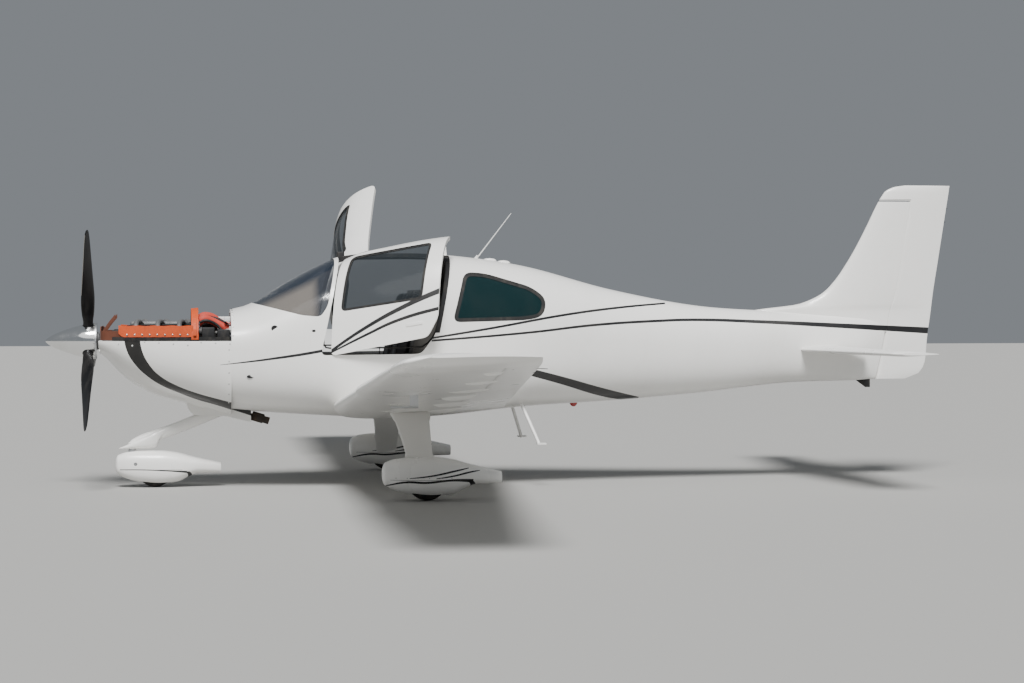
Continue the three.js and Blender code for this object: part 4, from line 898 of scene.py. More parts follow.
def make_finishes():
    GROUPS["weathering"] = weathering_group()
    GROUPS["grain"] = grain_group()
    GROUPS["brushed"] = brushed_group()
    GROUPS["body_lines"] = painted_lines("body_lines", (NOSE_LINE, UPPER_LINE, MAIN_LINE, BELLY_BAND))
    GROUPS["door_lines"] = painted_lines("door_lines", (DOOR_UPPER_LINE, DOOR_LOWER_LINE))
    GROUPS["shade_band"] = shade_band_group()
    GROUPS["cowl_band"] = cowl_band_group()
    GROUPS["main_fairing_lines"] = painted_lines(
        "main_fairing_lines", (MAIN_FAIRING_BAND, MAIN_FAIRING_SWEEP,
                               MAIN_FAIRING_UNDERSWEEP), MAIN_FAIRING_CURL)
    GROUPS["nose_fairing_lines"] = painted_lines(
        "nose_fairing_lines", (NOSE_FAIRING_BAND,), NOSE_FAIRING_CURL)
    white = dict(color=(0.86, 0.85, 0.82), roughness=0.3, coat=0.22, wear=0.2, wear_size=1.4, bump=0.006)
    black_line = (0.003, 0.003, 0.0035)
    return {
        "white": material("white_paint", **white),
        "body": material("white_paint_with_lines", lines="body_lines", **white),
        "door": material("white_door_paint", lines="door_lines", attribute="shut_place", **white),
        "cowl": material("white_cowl_paint", lines="cowl_band", line_color=black_line, **white),
        "main_fairing": material("white_main_fairing_paint", lines="main_fairing_lines",
                                 line_color=black_line, **white),
        "nose_fairing": material("white_nose_fairing_paint", lines="nose_fairing_lines",
                                 line_color=black_line, **white),
        "jamb": material("jamb_rubber", (0.02, 0.02, 0.021), 0.7, wear=0.5, wear_size=9, bump=0.1),
        "primer": material("inner_cowl_primer", (0.2, 0.205, 0.2), 0.7, wear=0.8, wear_size=9, bump=0.1),
        "lining": material("cabin_lining", (0.15, 0.142, 0.13), 0.85, wear=0.3, wear_size=5, grain="grain",
                           grain_size=700, bump=0.35),
        "door_glass": material("light_tinted_glass", (0.02, 0.026, 0.03), 0.05, coat=0.3, wear=0.05,
                               wear_size=6, alpha=0.42),
        "glass": material("dark_tinted_glass", (0.004, 0.02, 0.022), 0.05, coat=0.3, wear=0.05, wear_size=6,
                          alpha=0.8),
        "shield": material("windshield_glass", (0.22, 0.2, 0.18), 0.05, coat=0.3, wear=0.05, wear_size=6,
                           alpha=0.5, lines="shade_band", line_color=(0.012, 0.022, 0.04)),
        "rubber": material("seal_rubber", (0.018, 0.018, 0.018), 0.7, wear=0.4, wear_size=20, bump=0.1),
        "tyre": material("tyre_rubber", (0.022, 0.021, 0.02), 0.85, wear=0.8, wear_size=14,
                         dirt=(0.16, 0.14, 0.12), grain="grain", grain_size=900, bump=0.4),
        "alloy": material("satin_alloy", (0.56, 0.57, 0.58), 0.38, metallic=1.0, wear=0.5, wear_size=12,
                          grain="brushed", brushed=(60.0, 900.0, 900.0), bump=0.08),
        "polished": material("polished_alloy", (0.86, 0.86, 0.85), 0.12, metallic=1.0, wear=0.25, wear_size=6,
                             grain="brushed", brushed=(20.0, 700.0, 700.0), bump=0.02),
        "black_paint": material("satin_black_paint", (0.004, 0.004, 0.0045), 0.42, coat=0.05, wear=0.5,
                                wear_size=8, dirt=(0.12, 0.11, 0.1), bump=0.04),
        "plastic": material("black_plastic", (0.02, 0.02, 0.021), 0.55, wear=0.4, wear_size=16, grain="grain",
                            grain_size=1100, bump=0.2),
        "trim": material("dark_trim", (0.035, 0.035, 0.037), 0.72, wear=0.4, wear_size=10, grain="grain",
                         grain_size=800, bump=0.35),
        "casting": material("engine_casting", (0.20, 0.20, 0.2), 0.62, metallic=0.7, wear=1.0, wear_size=16,
                            dirt=(0.03, 0.025, 0.02), grain="grain", grain_size=600, bump=0.8),
        "steel": material("zinc_steel", (0.42, 0.41, 0.38), 0.42, metallic=1.0, wear=0.7, wear_size=18,
                          dirt=(0.16, 0.09, 0.05), bump=0.1),
        "tube": material("painted_tube", (0.52, 0.52, 0.5), 0.5, wear=0.7, wear_size=14, bump=0.1),
        "exhaust": material("heated_exhaust", (0.045, 0.038, 0.032), 0.66, metallic=0.6, wear=1.0,
                            wear_size=22, dirt=(0.2, 0.09, 0.04), bump=0.3),
        # Darker copy of the orange seal, painted shade for the front seals that lie in shadow
        "burnt_orange": material("burnt_orange_seal", (0.11, 0.03, 0.012), 0.75, wear=0.9, wear_size=24,
                                 dirt=(0.02, 0.015, 0.01), grain="grain", grain_size=900, bump=0.3),
        "orange": material("orange_seal", (0.56, 0.068, 0.006), 0.62, wear=0.55, wear_size=20,
                           dirt=(0.1, 0.03, 0.01), grain="grain", grain_size=900, bump=0.3),
        "red_duct": material("red_duct_cloth", (0.5, 0.05, 0.03), 0.75, wear=0.6, wear_size=22, bump=0.3),
        "leather": material("black_leather", (0.02, 0.019, 0.021), 0.5, coat=0.05, wear=0.35, wear_size=9,
                            dirt=(0.1, 0.09, 0.08), grain="grain", grain_size=520, bump=0.45),
        "seat": material("seat_shell_plastic", (0.05, 0.05, 0.052), 0.62, wear=0.4, wear_size=10,
                         grain="grain", grain_size=900, bump=0.25),
        "carpet": material("cabin_carpet", (0.045, 0.043, 0.043), 0.95, wear=0.5, wear_size=8, grain="grain",
                           grain_size=1500, bump=1.0),
        "webbing": material("belt_webbing", (0.03, 0.03, 0.035), 0.8, wear=0.3, wear_size=20, grain="grain",
                            grain_size=1800, bump=0.5),
        "screen": material("display_glass", (0.008, 0.012, 0.02), 0.12, coat=0.6, wear=0.1, wear_size=30),
        "red_lens": material("red_lens", (0.35, 0.01, 0.01), 0.12, coat=0.6, wear=0.1, wear_size=30),
        "green_lens": material("green_lens", (0.01, 0.25, 0.06), 0.12, coat=0.6, wear=0.1, wear_size=30),
        "clear_lens": material("clear_lens", (0.62, 0.64, 0.66), 0.08, coat=0.7, wear=0.1, wear_size=30),
        # Dark joints along the seams, and painted shade on the plates of the side vents
        "gap": material("dark_gap", (0.02, 0.02, 0.021), 0.9, wear=0.3, wear_size=20, bump=0.1),
        "mark": material("white_mark", (0.75, 0.75, 0.73), 0.5, wear=0.3, wear_size=30, bump=0.05),
    }


FINISH = make_finishes()
# Finishes of each material in the record
SLOT_FINISHES = {
    "white_shell": ["body", "cowl", "door", "main_fairing", "nose_fairing", "white"],
    "tinted_glazing": ["door_glass", "glass", "green_lens", "red_lens", "shield"],
    "black_plastic": ["gap", "mark", "plastic", "red_duct", "rubber", "screen", "webbing"],
    "cabin_trim": ["trim"],
    "bare_alloy": ["alloy", "steel"],
    "seat_leather": ["leather"],
    "tyre": ["tyre"],
    "black_blades": ["black_paint"],
    "polished_alloy": ["polished"],
    "engine_metal": ["casting", "exhaust"],
    "orange_seal": ["burnt_orange", "orange"],
    "steel_tube": ["tube"],
}
SLOTS = {name: slot for slot, names in SLOT_FINISHES.items() for name in names}


def finish(piece, finishes, replaces=(), body="airframe", slot=None, angle=32):
    """Gives a piece its finishes, smooth shading and body."""
    names = [finishes] if isinstance(finishes, str) else finishes
    slot = slot or SLOTS[names[0]]
    for index, name in enumerate(names):
        if index < len(piece.data.materials):
            piece.data.materials[index] = FINISH[name]
        else:
            piece.data.materials.append(FINISH[name])
    piece.data.shade_smooth()
    piece.data.set_sharp_from_angle(angle=radians(angle))
    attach(piece, body)
    if replaces:
        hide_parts(*replaces)
    return piece


def paint_faces(piece, index):
    piece.data.polygons.foreach_set("material_index", [index] * len(piece.data.polygons))
    return piece


def slotted(piece, count):
    """Gives a piece empty material places, so that cut faces keep the number of their finish."""
    for _ in range(count):
        piece.data.materials.append(None)
    return piece


# Repeats made with Geometry Nodes

def points_tree(name, sizes):
    """An empty tree that takes points, the given sizes and a finish."""
    tree = bpy.data.node_groups.new(name, "GeometryNodeTree")
    tree.interface.new_socket("Geometry", in_out="INPUT", socket_type="NodeSocketGeometry")
    for label, default in sizes:
        socket = tree.interface.new_socket(label, in_out="INPUT", socket_type="NodeSocketFloat")
        socket.default_value = default
    tree.interface.new_socket("Finish", in_out="INPUT", socket_type="NodeSocketMaterial")
    tree.interface.new_socket("Geometry", in_out="OUTPUT", socket_type="NodeSocketGeometry")
    return tree, tree.nodes.new("NodeGroupInput").outputs


def place_on_points(tree, given, shape):
    """Puts the shape on every point, turned along the point's own direction, and gives it the finish."""
    facing = add_node(tree, "GeometryNodeInputNamedAttribute", {"Name": "facing"}, data_type="FLOAT_VECTOR")
    turn = add_node(tree, "FunctionNodeAlignRotationToVector", {"Vector": facing.outputs[0]}, axis="Z")
    placed = add_node(tree, "GeometryNodeInstanceOnPoints", {
        "Points": given["Geometry"], "Instance": shape, "Rotation": turn.outputs[0]})
    real = add_node(tree, "GeometryNodeRealizeInstances", {"Geometry": placed.outputs[0]})
    dressed = add_node(tree, "GeometryNodeSetMaterial", {
        "Geometry": real.outputs[0], "Material": given["Finish"]})
    tree.links.new(dressed.outputs[0], tree.nodes.new("NodeGroupOutput").inputs["Geometry"])
    return tree


def heads_tree():
    """Round fastener heads with a chamfered crown."""
    tree, given = points_tree("fastener_heads",
                              (("Head radius", 0.004), ("Head height", 0.0015), ("Slot depth", 0.4)))
    base = add_node(tree, "GeometryNodeMeshCylinder", {
        "Vertices": 10, "Radius": given["Head radius"], "Depth": given["Head height"]})
    crown = add_node(tree, "GeometryNodeMeshCone", {
        "Vertices": 10, "Depth": given["Head height"], "Radius Bottom": given["Head radius"],
        "Radius Top": compute(tree, "MULTIPLY", given["Head radius"], given["Slot depth"])})
    lift = add_node(tree, "ShaderNodeCombineXYZ", {"Z": compute(tree, "MULTIPLY", given["Head height"], 0.5)})
    raised = add_node(tree, "GeometryNodeTransform", {
        "Geometry": crown.outputs["Mesh"], "Translation": lift.outputs[0]})
    both = tree.nodes.new("GeometryNodeJoinGeometry")
    tree.links.new(base.outputs["Mesh"], both.inputs[0])
    tree.links.new(raised.outputs[0], both.inputs[0])
    return place_on_points(tree, given, both.outputs[0])


def fins_tree():
    """Round cooling fins."""
    tree, given = points_tree("cooling_fins", (("Fin radius", 0.07), ("Fin thickness", 0.002)))
    fin = add_node(tree, "GeometryNodeMeshCylinder", {
        "Vertices": 28, "Radius": given["Fin radius"], "Depth": given["Fin thickness"]})
    return place_on_points(tree, given, fin.outputs["Mesh"])


TREES = {"heads": heads_tree(), "fins": fins_tree()}


def repeat(name, kind, spots, finish_name, body="airframe", **sizes):
    """One mesh with a copy of the tree's shape on each spot, given as place in millimetres and direction."""
    mesh = bpy.data.meshes.new(name)
    mesh.from_pydata([station(place) for place, _ in spots], [], [])
    facing = mesh.attributes.new("facing", "FLOAT_VECTOR", "POINT")
    facing.data.foreach_set("vector", [c for _, direction in spots for c in Vector(direction).normalized()])
    seed = bpy.data.objects.new(name + "_spots", mesh)
    bpy.context.scene.collection.objects.link(seed)
    modifier = seed.modifiers.new("repeat", "NODES")
    modifier.node_group = TREES[kind]
    for item in TREES[kind].interface.items_tree:
        label = item.name.lower().replace(" ", "_")
        if item.in_out == "INPUT" and label in sizes:
            modifier[item.identifier] = sizes[label]
        if item.in_out == "INPUT" and item.name == "Finish":
            modifier[item.identifier] = FINISH[finish_name]
    bpy.context.view_layer.update()
    evaluated = seed.evaluated_get(bpy.context.evaluated_depsgraph_get())
    result = bpy.data.objects.new(name, bpy.data.meshes.new_from_object(evaluated))
    bpy.context.scene.collection.objects.link(result)
    bpy.data.objects.remove(seed)
    return finish(result, finish_name, body=body, angle=40)


def spaced(points, gap):
    """Points along an open line, the same distance apart."""
    path = [Vector(p) for p in points]
    result = []
    carried = gap / 2
    for a, b in zip(path, path[1:]):
        length = (b - a).length
        at = carried
        while at < length:
            result.append(a.lerp(b, at / length))
            at += gap
        carried = at - length
    return result


# Cabin shell, doors and glazing

def pane(name, prism, depth=GLASS_DEPTH):
    glass = fuselage_body(name, depth)
    glass = carve(glass, fuselage_body("inner", depth + GLASS_THICKNESS))
    return carve(glass, prism, "INTERSECT")


def build_fuselage():
    shell = slotted(fuselage_body("fuselage_shell", 0), 3)
    shell = carve(shell, paint_faces(slotted(fuselage_cavity("cavity"), 3), 1))
    shield = side_prism("shield", round_outline(WINDSHIELD_OUTLINE, 40), -900, 900)
    shell = carve(shell, paint_faces(slotted(shield, 3), 2))
    for side in (-1, 1):
        zone = paint_faces(slotted(door_zone("doorway", side, DOOR_GAP), 3), 2)
        shell = carve(shell, zone)
        land = [[3250, 1306], [3382, 1944], [3408, 2050], [3330, 2050], [3200, 1944], [3180, 1306]]
        rebate = carve(side_prism("rebate", land, side * 130, side * 900),
                       fuselage_body("core", 15, 3050, 3560), "DIFFERENCE")
        shell = carve(shell, paint_faces(slotted(rebate, 3), 2))
        shell = carve(shell, paint_faces(slotted(window_prism(REAR_WINDOW, side, 0), 3), 2))
    tunnel = rod("tunnel", (1500, -124, 648), (1720, -124, 600), 30)
    shell = carve(shell, tunnel)
    finish(shell, ["body", "lining", "jamb"], ["fuselage"], angle=28)
    windshield = pane("windshield_glass",
                      side_prism("front", round_outline(WINDSHIELD_OUTLINE, 40, -0.3), -900, 900))
    finish(windshield, "shield", ["windshield"], angle=40)
    for side, name in SIDES:
        glass = pane(f"{name}_rear_glass", window_prism(REAR_WINDOW, side, -0.3))
        finish(glass, "glass", [f"{name}_rear_window"], angle=40)


def window_border(name, corners, side, radius, width, lift, body, matrix=None):
    """Dark band on the glass along the edge of its opening."""
    outer = dense_outline(round_outline(corners, radius, -1))
    centre = Vector((sum(x for x, _ in outer) / len(outer), sum(z for _, z in outer) / len(outer)))
    bands = []
    for i, (x, z) in enumerate(outer):
        px, pz = outer[i - 1]
        nx, nz = outer[(i + 1) % len(outer)]
        normal = Vector((nz - pz, px - nx)).normalized()
        if normal.dot(Vector((x, z)) - centre) < 0:
            normal = -normal
        ix, iz = x - normal.x * width, z - normal.y * width
        ring = []
        for (qx, qz), depth in (((x, z), lift), ((ix, iz), lift), ((ix, iz), lift + 12), ((x, z), lift + 12)):
            ring.append((qx, side * skin_y(qx, qz, depth), qz))
        bands.append(ring)
    piece = loft(name, bands, closed=True)
    if matrix:
        piece.data.transform(matrix)
    return finish(piece, "rubber", body=body, angle=50)


def seal_bead(name, corners, corner_radius, side, inset, radius, body, finish_name="rubber",
              matrix=None, grow=0):
    path = on_skin(dense_outline(round_outline(corners, corner_radius, grow)), side, inset)
    piece = tube(name, path, radius, 8, closed=True)
    if matrix:
        piece.data.transform(matrix)
    return finish(piece, finish_name, body=body, angle=60)


def remember_shut_place(piece):
    """Stores where each point of a shut door is, for the painted lines."""
    layer = piece.data.attributes.new("shut_place", "FLOAT_VECTOR", "POINT")
    flat = np.zeros(len(piece.data.vertices) * 3, np.float32)
    piece.data.vertices.foreach_get("co", flat)
    layer.data.foreach_set("vector", flat)


def build_door(side, name):
    matrix = door_matrix(side)
    body = f"{name}_door"
    panel = slotted(fuselage_body(f"{name}_door_shell", 0, 2150, 3450, 40), 3)
    panel = carve(panel, paint_faces(slotted(fuselage_cavity("cavity"), 3), 1))
    panel = carve(panel, paint_faces(slotted(door_zone("zone", side, 0), 3), 2), "INTERSECT")
    panel = carve(panel, paint_faces(slotted(window_prism(DOOR_WINDOW, side, 0), 3), 2))
    remember_shut_place(panel)
    panel.data.transform(matrix)
    finish(panel, ["door", "trim", "white"], [f"{name}_door"], body=body, angle=28)
    glass = pane(f"{name}_door_glass", window_prism(DOOR_WINDOW, side, -0.3))
    glass.data.transform(matrix)
    finish(glass, "door_glass", [f"{name}_door_window"], body=body, angle=40)
    window_border(f"{name}_door_glass_border", DOOR_WINDOW, side, 52, 20, GLASS_DEPTH - 3, body, matrix)
    seal_bead(f"{name}_door_glass_seal", DOOR_WINDOW, 52, side, 5, 4.5, body, matrix=matrix)
    rubber = tube(f"{name}_door_edge_seal", door_edge_path(side, WALL - 2, 24), 7, 8, closed=True)
    rubber.data.transform(matrix)
    finish(rubber, "rubber", body=body, angle=60)
    build_door_inside(side, name, body, matrix)


def build_door_inside(side, name, body, matrix):
    """Padded lower panel, arm rest and inner handle, and the handle outside."""
    lining = []
    rings = []
    for x in spread(2350, 3080, 60):
        top, bottom = 1430, 1190
        column = []
        for z in spread(top, bottom, 60):
            bulge = 10 + 14 * sin(pi * (z - bottom) / (top - bottom)) ** 0.5
            column.append((x, side * (skin_y(x, z, WALL) - bulge), z))
        back = [(x, side * (skin_y(x, z, WALL) - 1.0), z) for z in spread(bottom, top, 60)]
        rings.append(column + back)
    lining.append(loft("lining", rings))
    rest = []
    for x in spread(2620, 2990, 30):
        y = skin_y(x, 1300, WALL)
        rest.append([(x, side * (y - 12), 1322), (x, side * (y - 62), 1318), (x, side * (y - 70), 1306),
                     (x, side * (y - 60), 1292), (x, side * (y - 12), 1270)])
    lining.append(loft("rest", rest))
    handle = tube("handle", smooth_path([(2470, side * (skin_y(2470, 1380, WALL) - 20), 1380),
                                         (2480, side * (skin_y(2480, 1380, WALL) - 52), 1384),
                                         (2580, side * (skin_y(2580, 1400, WALL) - 52), 1402),
                                         (2590, side * (skin_y(2590, 1400, WALL) - 20), 1404)]), 9)
    lining.append(handle)
    inner = join(f"{name}_door_lining", lining)
    inner.data.transform(matrix)
    finish(inner, "trim", body=body, angle=45)
    handle_low = (2930, side * (skin_y(2930, 1262) - 2), 1248)
    handle_high = (3068, side * (skin_y(3068, 1276) + 7), 1276)
    pull = block(f"{name}_door_handle", handle_low if side > 0 else (2930, handle_high[1], 1248),
                 handle_high if side > 0 else (3068, handle_low[1], 1276), 5)
    pull.data.transform(matrix)
    finish(pull, "white", body=body, angle=40)


def build_cabin_trim():
    for side, name in SIDES:
        window_border(f"{name}_rear_glass_border", REAR_WINDOW, side, SIDE_WINDOW_ROUNDING, 32,
                      GLASS_DEPTH - 3, "airframe")
        seal_bead(f"{name}_rear_glass_seal", REAR_WINDOW, SIDE_WINDOW_ROUNDING, side, 5, 4.5, "airframe")
        seal = tube(f"{name}_doorway_seal", door_edge_path(side, WALL + 2, -DOOR_GAP - 6), 7, 8, closed=True)
        finish(seal, "rubber", angle=60)
        sill = []
        for x in spread(2300, 3090, 40):
            y = skin_y(x, 1120, 0)
            sill.append([(x, side * (y - 8), 1112), (x, side * (y - 8), 1118), (x, side * (y - 34), 1121),
                         (x, side * (y - 34), 1108)])
        finish(loft(f"{name}_sill_plate", sill), "alloy", angle=40)


def build_displays():
    screens = []
    for side in (-1, 1):
        screens.append(block("screen", (2078.5, side * 250 - 150, 1190), (2092, side * 250 + 150, 1396), 6))
    finish(join("cockpit_displays", screens), "screen", angle=40)
    frames = []
    for side in (-1, 1):
        path = [(2092, side * 250 - 158, 1182), (2092, side * 250 + 158, 1182),
                (2092, side * 250 + 158, 1404), (2092, side * 250 - 158, 1404)]
        frames.append(tube("bezel", path, 9, 8, closed=True))
    frames.append(block("radio_stack", (2078.5, -80, 1176), (2094, 80, 1400), 5))
    for k in range(5):
        frames.append(block("radio", (2092, -70, 1186 + k * 42), (2099, 70, 1220 + k * 42), 4))
    finish(join("display_frames", frames), "plastic", angle=40)
    knobs = [((2098, side * 174, 1182 + 20 * k), (1, 0, 0)) for side in (-1, 1) for k in range(1, 11)]
    knobs += [((2099, y, 1203 + k * 42), (1, 0, 0)) for y in (-60, 60) for k in range(5)]
    repeat("panel_knobs", "heads", knobs, "plastic", head_radius=0.009, head_height=0.012)


def build_sticks_and_pedals():
    sticks = []
    for side in (-1, 1):
        foot = (2082, side * 420, 1210)
        sticks.append(tube("stick", smooth_path([foot, (2180, side * 415, 1215), (2240, side * 400, 1240),
                                                 (2252, side * 396, 1330)]), 13))
        sticks.append(tube("grip", smooth_path([(2252, side * 396, 1300), (2256, side * 395, 1350),
                                                (2250, side * 393, 1395)]), 19))
    finish(join("side_sticks", sticks), "plastic", angle=50)
    levers = [tube("lever", smooth_path([(2300 + k * 4, y, 1010), (2290, y, 1090), (2300, y, 1140)]), 6)
              for k, y in enumerate((-24, 20))]
    levers += [turned("knob", [[0.01, -14], [13, -12], [17, 0], [13, 12], [0.01, 14]], (2302, y, 1146),
                      (1, 0, 0.3), 20)
               for y in (-24, 20)]
    finish(join("engine_levers", levers), "plastic", angle=50)
    pedals = []
    for y in (-420, -250, 250, 420):
        pedals.append(block("pedal", (1790, y - 45, 940), (1806, y + 45, 1060), 6))
        pedals.append(tube("arm", smooth_path([(1795, y, 1000), (1700, y, 1060), (1640, y, 1180)]), 9))
    finish(join("rudder_pedals", pedals), "alloy", angle=40)


def build_glare_shield():
    hood = []
    for x in spread(1720, 2130, 40):
        width = skin_y(min(x, 2060), 1470, WALL) - 12
        row = []
        for k in range(25):
            y = -width + 2 * width * k / 24
            row.append((x, y, 1474 + 26 * (1 - (y / width) ** 4) - (6 if x < 2100 else 22 * (x - 2100) / 30)))
        row += [(x, y, z - 9) for _, y, z in reversed(row)]
        hood.append(row)
    finish(loft("glare_shield", hood), "trim", angle=50)


def seat_outline(x, floor, rake, depth, height, shrink):
    back, top = x + depth, floor + height
    lean = rake * (top - floor - 200)
    corners = [(x, floor + 87), (back + 34, floor + 87), (back + 64, floor + 203),
               (back + 60 + lean, top - 14), (back - 26 + lean, top - 14), (back - 40, floor + 232),
               (x + 16, floor + 222)]
    return dense_outline(round_outline(corners, 26, -shrink), 24)


def soften(piece, cap):
    """Fills a cushion out with a short cloth run, never moving a point further than the cap."""
    remesh = piece.modifiers.new("even", "REMESH")
    remesh.mode = "VOXEL"
    remesh.voxel_size = 0.0085
    bpy.context.view_layer.update()
    mesh = bpy.data.meshes.new_from_object(piece.evaluated_get(bpy.context.evaluated_depsgraph_get()))
    piece.modifiers.clear()
    piece.data = mesh
    count = len(mesh.vertices)
    before = np.zeros(count * 3)
    mesh.vertices.foreach_get("co", before)
    cloth = piece.modifiers.new("fill", "CLOTH")
    cloth.settings.use_pressure = True
    cloth.settings.uniform_pressure_force = 4
    cloth.settings.quality = 4
    cloth.settings.effector_weights.gravity = 0
    for step in range(1, 15):
        bpy.context.scene.frame_set(step)
    evaluated = piece.evaluated_get(bpy.context.evaluated_depsgraph_get())
    after = np.zeros(count * 3)
    evaluated.data.vertices.foreach_get("co", after)
    piece.modifiers.clear()
    move = (after - before).reshape(-1, 3)
    length = np.linalg.norm(move, axis=1, keepdims=True)
    move *= np.minimum(1, cap / np.maximum(length, 1e-9))
    mesh.vertices.foreach_set("co", (before.reshape(-1, 3) + move).ravel())
    bpy.context.scene.frame_set(1)
    smooth = piece.modifiers.new("relax", "SMOOTH")
    smooth.factor = 0.5
    smooth.iterations = 3
    bpy.context.view_layer.update()
    piece.data = bpy.data.meshes.new_from_object(piece.evaluated_get(bpy.context.evaluated_depsgraph_get()))
    piece.modifiers.clear()


def build_cushion(name, node, seat, low, high, channels):
    """Seat and back pad in one cover, with sewn channels across and a rounded crown."""
    outline = seat_outline(*seat, shrink=7)
    columns = spread(low + 10, high - 10, 22)
    middle, half = (low + high) / 2, (high - low) / 2 - 10
    centre = Vector((sum(p[0] for p in outline) / len(outline), sum(p[1] for p in outline) / len(outline)))
    rings = []
    for y in columns:
        edge = abs(y - middle) / half
        pinch = 1 - 0.10 * max(0, (edge - 0.75) / 0.25) ** 2
        ring = []
        for x, z in outline:
            away = Vector((x, z)) - centre
            spot = centre + away * pinch
            ring.append((spot.x, y, spot.y))
        rings.append(ring)
    piece = loft(name, rings)
    soften(piece, 0.008)
    flat = np.zeros(len(piece.data.vertices) * 3)
    piece.data.vertices.foreach_get("co", flat)
    place = flat.reshape(-1, 3)
    normals = np.zeros(len(piece.data.vertices) * 3)
    piece.data.vertices.foreach_get("normal", normals)
    normals = normals.reshape(-1, 3)
    for channel in channels:
        distance = np.abs(place[:, 1] * 1000 - channel)
        depth = 0.007 * np.exp(-(distance / 9) ** 2)
        place -= normals * depth[:, None]
    piece.data.vertices.foreach_set("co", place.ravel())
    body_finish = finish(piece, "leather", [node], angle=180)


def build_seats():
    front = (2440, 815.3, 0.2, 470, 850)
    rear = (3290, 815.3, 0.26, 440, 690)
    build_cushion("left_front_seat_pad", "left_front_cushion", front, -539, -130, (-450, -219))
    build_cushion("right_front_seat_pad", "right_front_cushion", front, 130, 539, (219, 450))
    build_cushion("rear_seat_pad", "rear_cushion", rear, -474, 474, (-240, 0, 240))
    for side, name in SIDES:
        y = side * 334.5
        belts = []
        lean = 0.2 * 650
        shoulder = [(3010 + lean, y + side * 60, 1652), (2985 + lean * 0.9, y + side * 66, 1640),
                    (2905 + lean * 0.6, y + side * 70, 1460), (2868, y + side * 96, 1240),
                    (2850, y + side * 190, 1075)]
        belts.append(strap("shoulder", shoulder, 22))
        lap = [(2868, y - side * 190, 1075), (2830, y - side * 110, 1072), (2800, y, 1070),
               (2830, y + side * 110, 1072), (2868, y + side * 190, 1075)]
        belts.append(strap("lap", lap, 22))
        finish(join(f"{name}_seat_belt", belts), "webbing", angle=50)
        buckle = block(f"{name}_belt_buckle", (2778, y - 34, 1062), (2800, y + 34, 1086), 6)
        finish(buckle, "alloy", angle=40)


def strap(name, points, half_width):
    """Flat webbing that lies across the seat."""
    path = smooth_path(points, 6)
    rings = []
    for i, point in enumerate(path):
        before, after = path[max(i - 1, 0)], path[min(i + 1, len(path) - 1)]
        tangent = (after - before).normalized()
        wide = Vector((0, 1, 0)) if abs(tangent.y) < 0.6 else Vector((1, 0, 0))
        wide = (wide - tangent * wide.dot(tangent)).normalized() * half_width
        up = tangent.cross(wide).normalized() * 1.5
        rings.append([point - wide - up, point + wide - up, point + wide + up, point - wide + up])
    return loft(name, rings)


# Wings and tail

def wing_body(name, side):
    rows = []
    for first, second, steps in ((0, 1, 8), (1, 2, 1), (2, 3, 8)):
        a, b = WING_SECTIONS[first], WING_SECTIONS[second]
        rows += [[p + (q - p) * k / steps for p, q in zip(a, b)] for k in range(steps)]
    tip = WING_SECTIONS[3:]
    rows += [read_table(tip, y, gentle=True) for y in spread(5620, 5840, 14)]
    rings = []
    for y, front, rear, z, ratio, droop in rows:
        chord = rear - front
        rings.append([(front + along * chord, side * y, z + offset - droop * (1 - along) ** 4)
                      for along, offset, _ in foil(chord, ratio, 0.018)])
    return loft(name, rings)


def hinge_points(hinge, side, above):
    points = []
    for y, x in hinge:
        low = wing_skin(y, x, -1)
        middle = (low + wing_skin(y, x, 1)) / 2
        points.append(Vector((x, side * y, middle if above is None else low + above)))
    return points


def build_wing():
    side = -1
    flap_line = hinge_points(FLAP_HINGE, side, FLAP_HINGE_ABOVE_SKIN)
    aileron_line = hinge_points(AILERON_HINGE, side, None)
    flap_radii = [wing_skin(y, x, 1) - p.z + 3 for (y, x), p in zip(FLAP_HINGE, flap_line)]
    aileron_radii = [wing_skin(y, x, 1) - p.z + 3 for (y, x), p in zip(AILERON_HINGE, aileron_line)]
    whole = wing_body("left_wing_skin", side)
    keep_out = fuselage_body("keep_out", 2, 1900, 4300)
    carve(whole, keep_out)
    flap = carve(copy_of(whole, "left_flap_skin"), hinge_zone("z", *flap_line[::-1], flap_radii[::-1], 0, 0),
                 "INTERSECT")
    aileron = carve(copy_of(whole, "left_aileron_skin"),
                    hinge_zone("z", *aileron_line[::-1], aileron_radii[::-1], 0, 0), "INTERSECT")
    carve(whole, hinge_zone("z", *flap_line[::-1], flap_radii[::-1], MOVING_GAP, MOVING_GAP))
    carve(whole, hinge_zone("z", *aileron_line[::-1], aileron_radii[::-1], MOVING_GAP, MOVING_GAP))
    carve(whole, rod("pad", (2800, side * 1850, 733.62), (2800, side * 1850, 780), 24), "UNION")
    for piece, part in ((whole, "wing"), (flap, "flap"), (aileron, "aileron")):
        twin = mirrored(piece, f"right_{part}_skin")
        for skin, hand in ((piece, "left"), (twin, "right")):
            body = "airframe" if part == "wing" else f"{hand}_{part}"
            finish(skin, "white", [f"{hand}_{part}"], body=body)


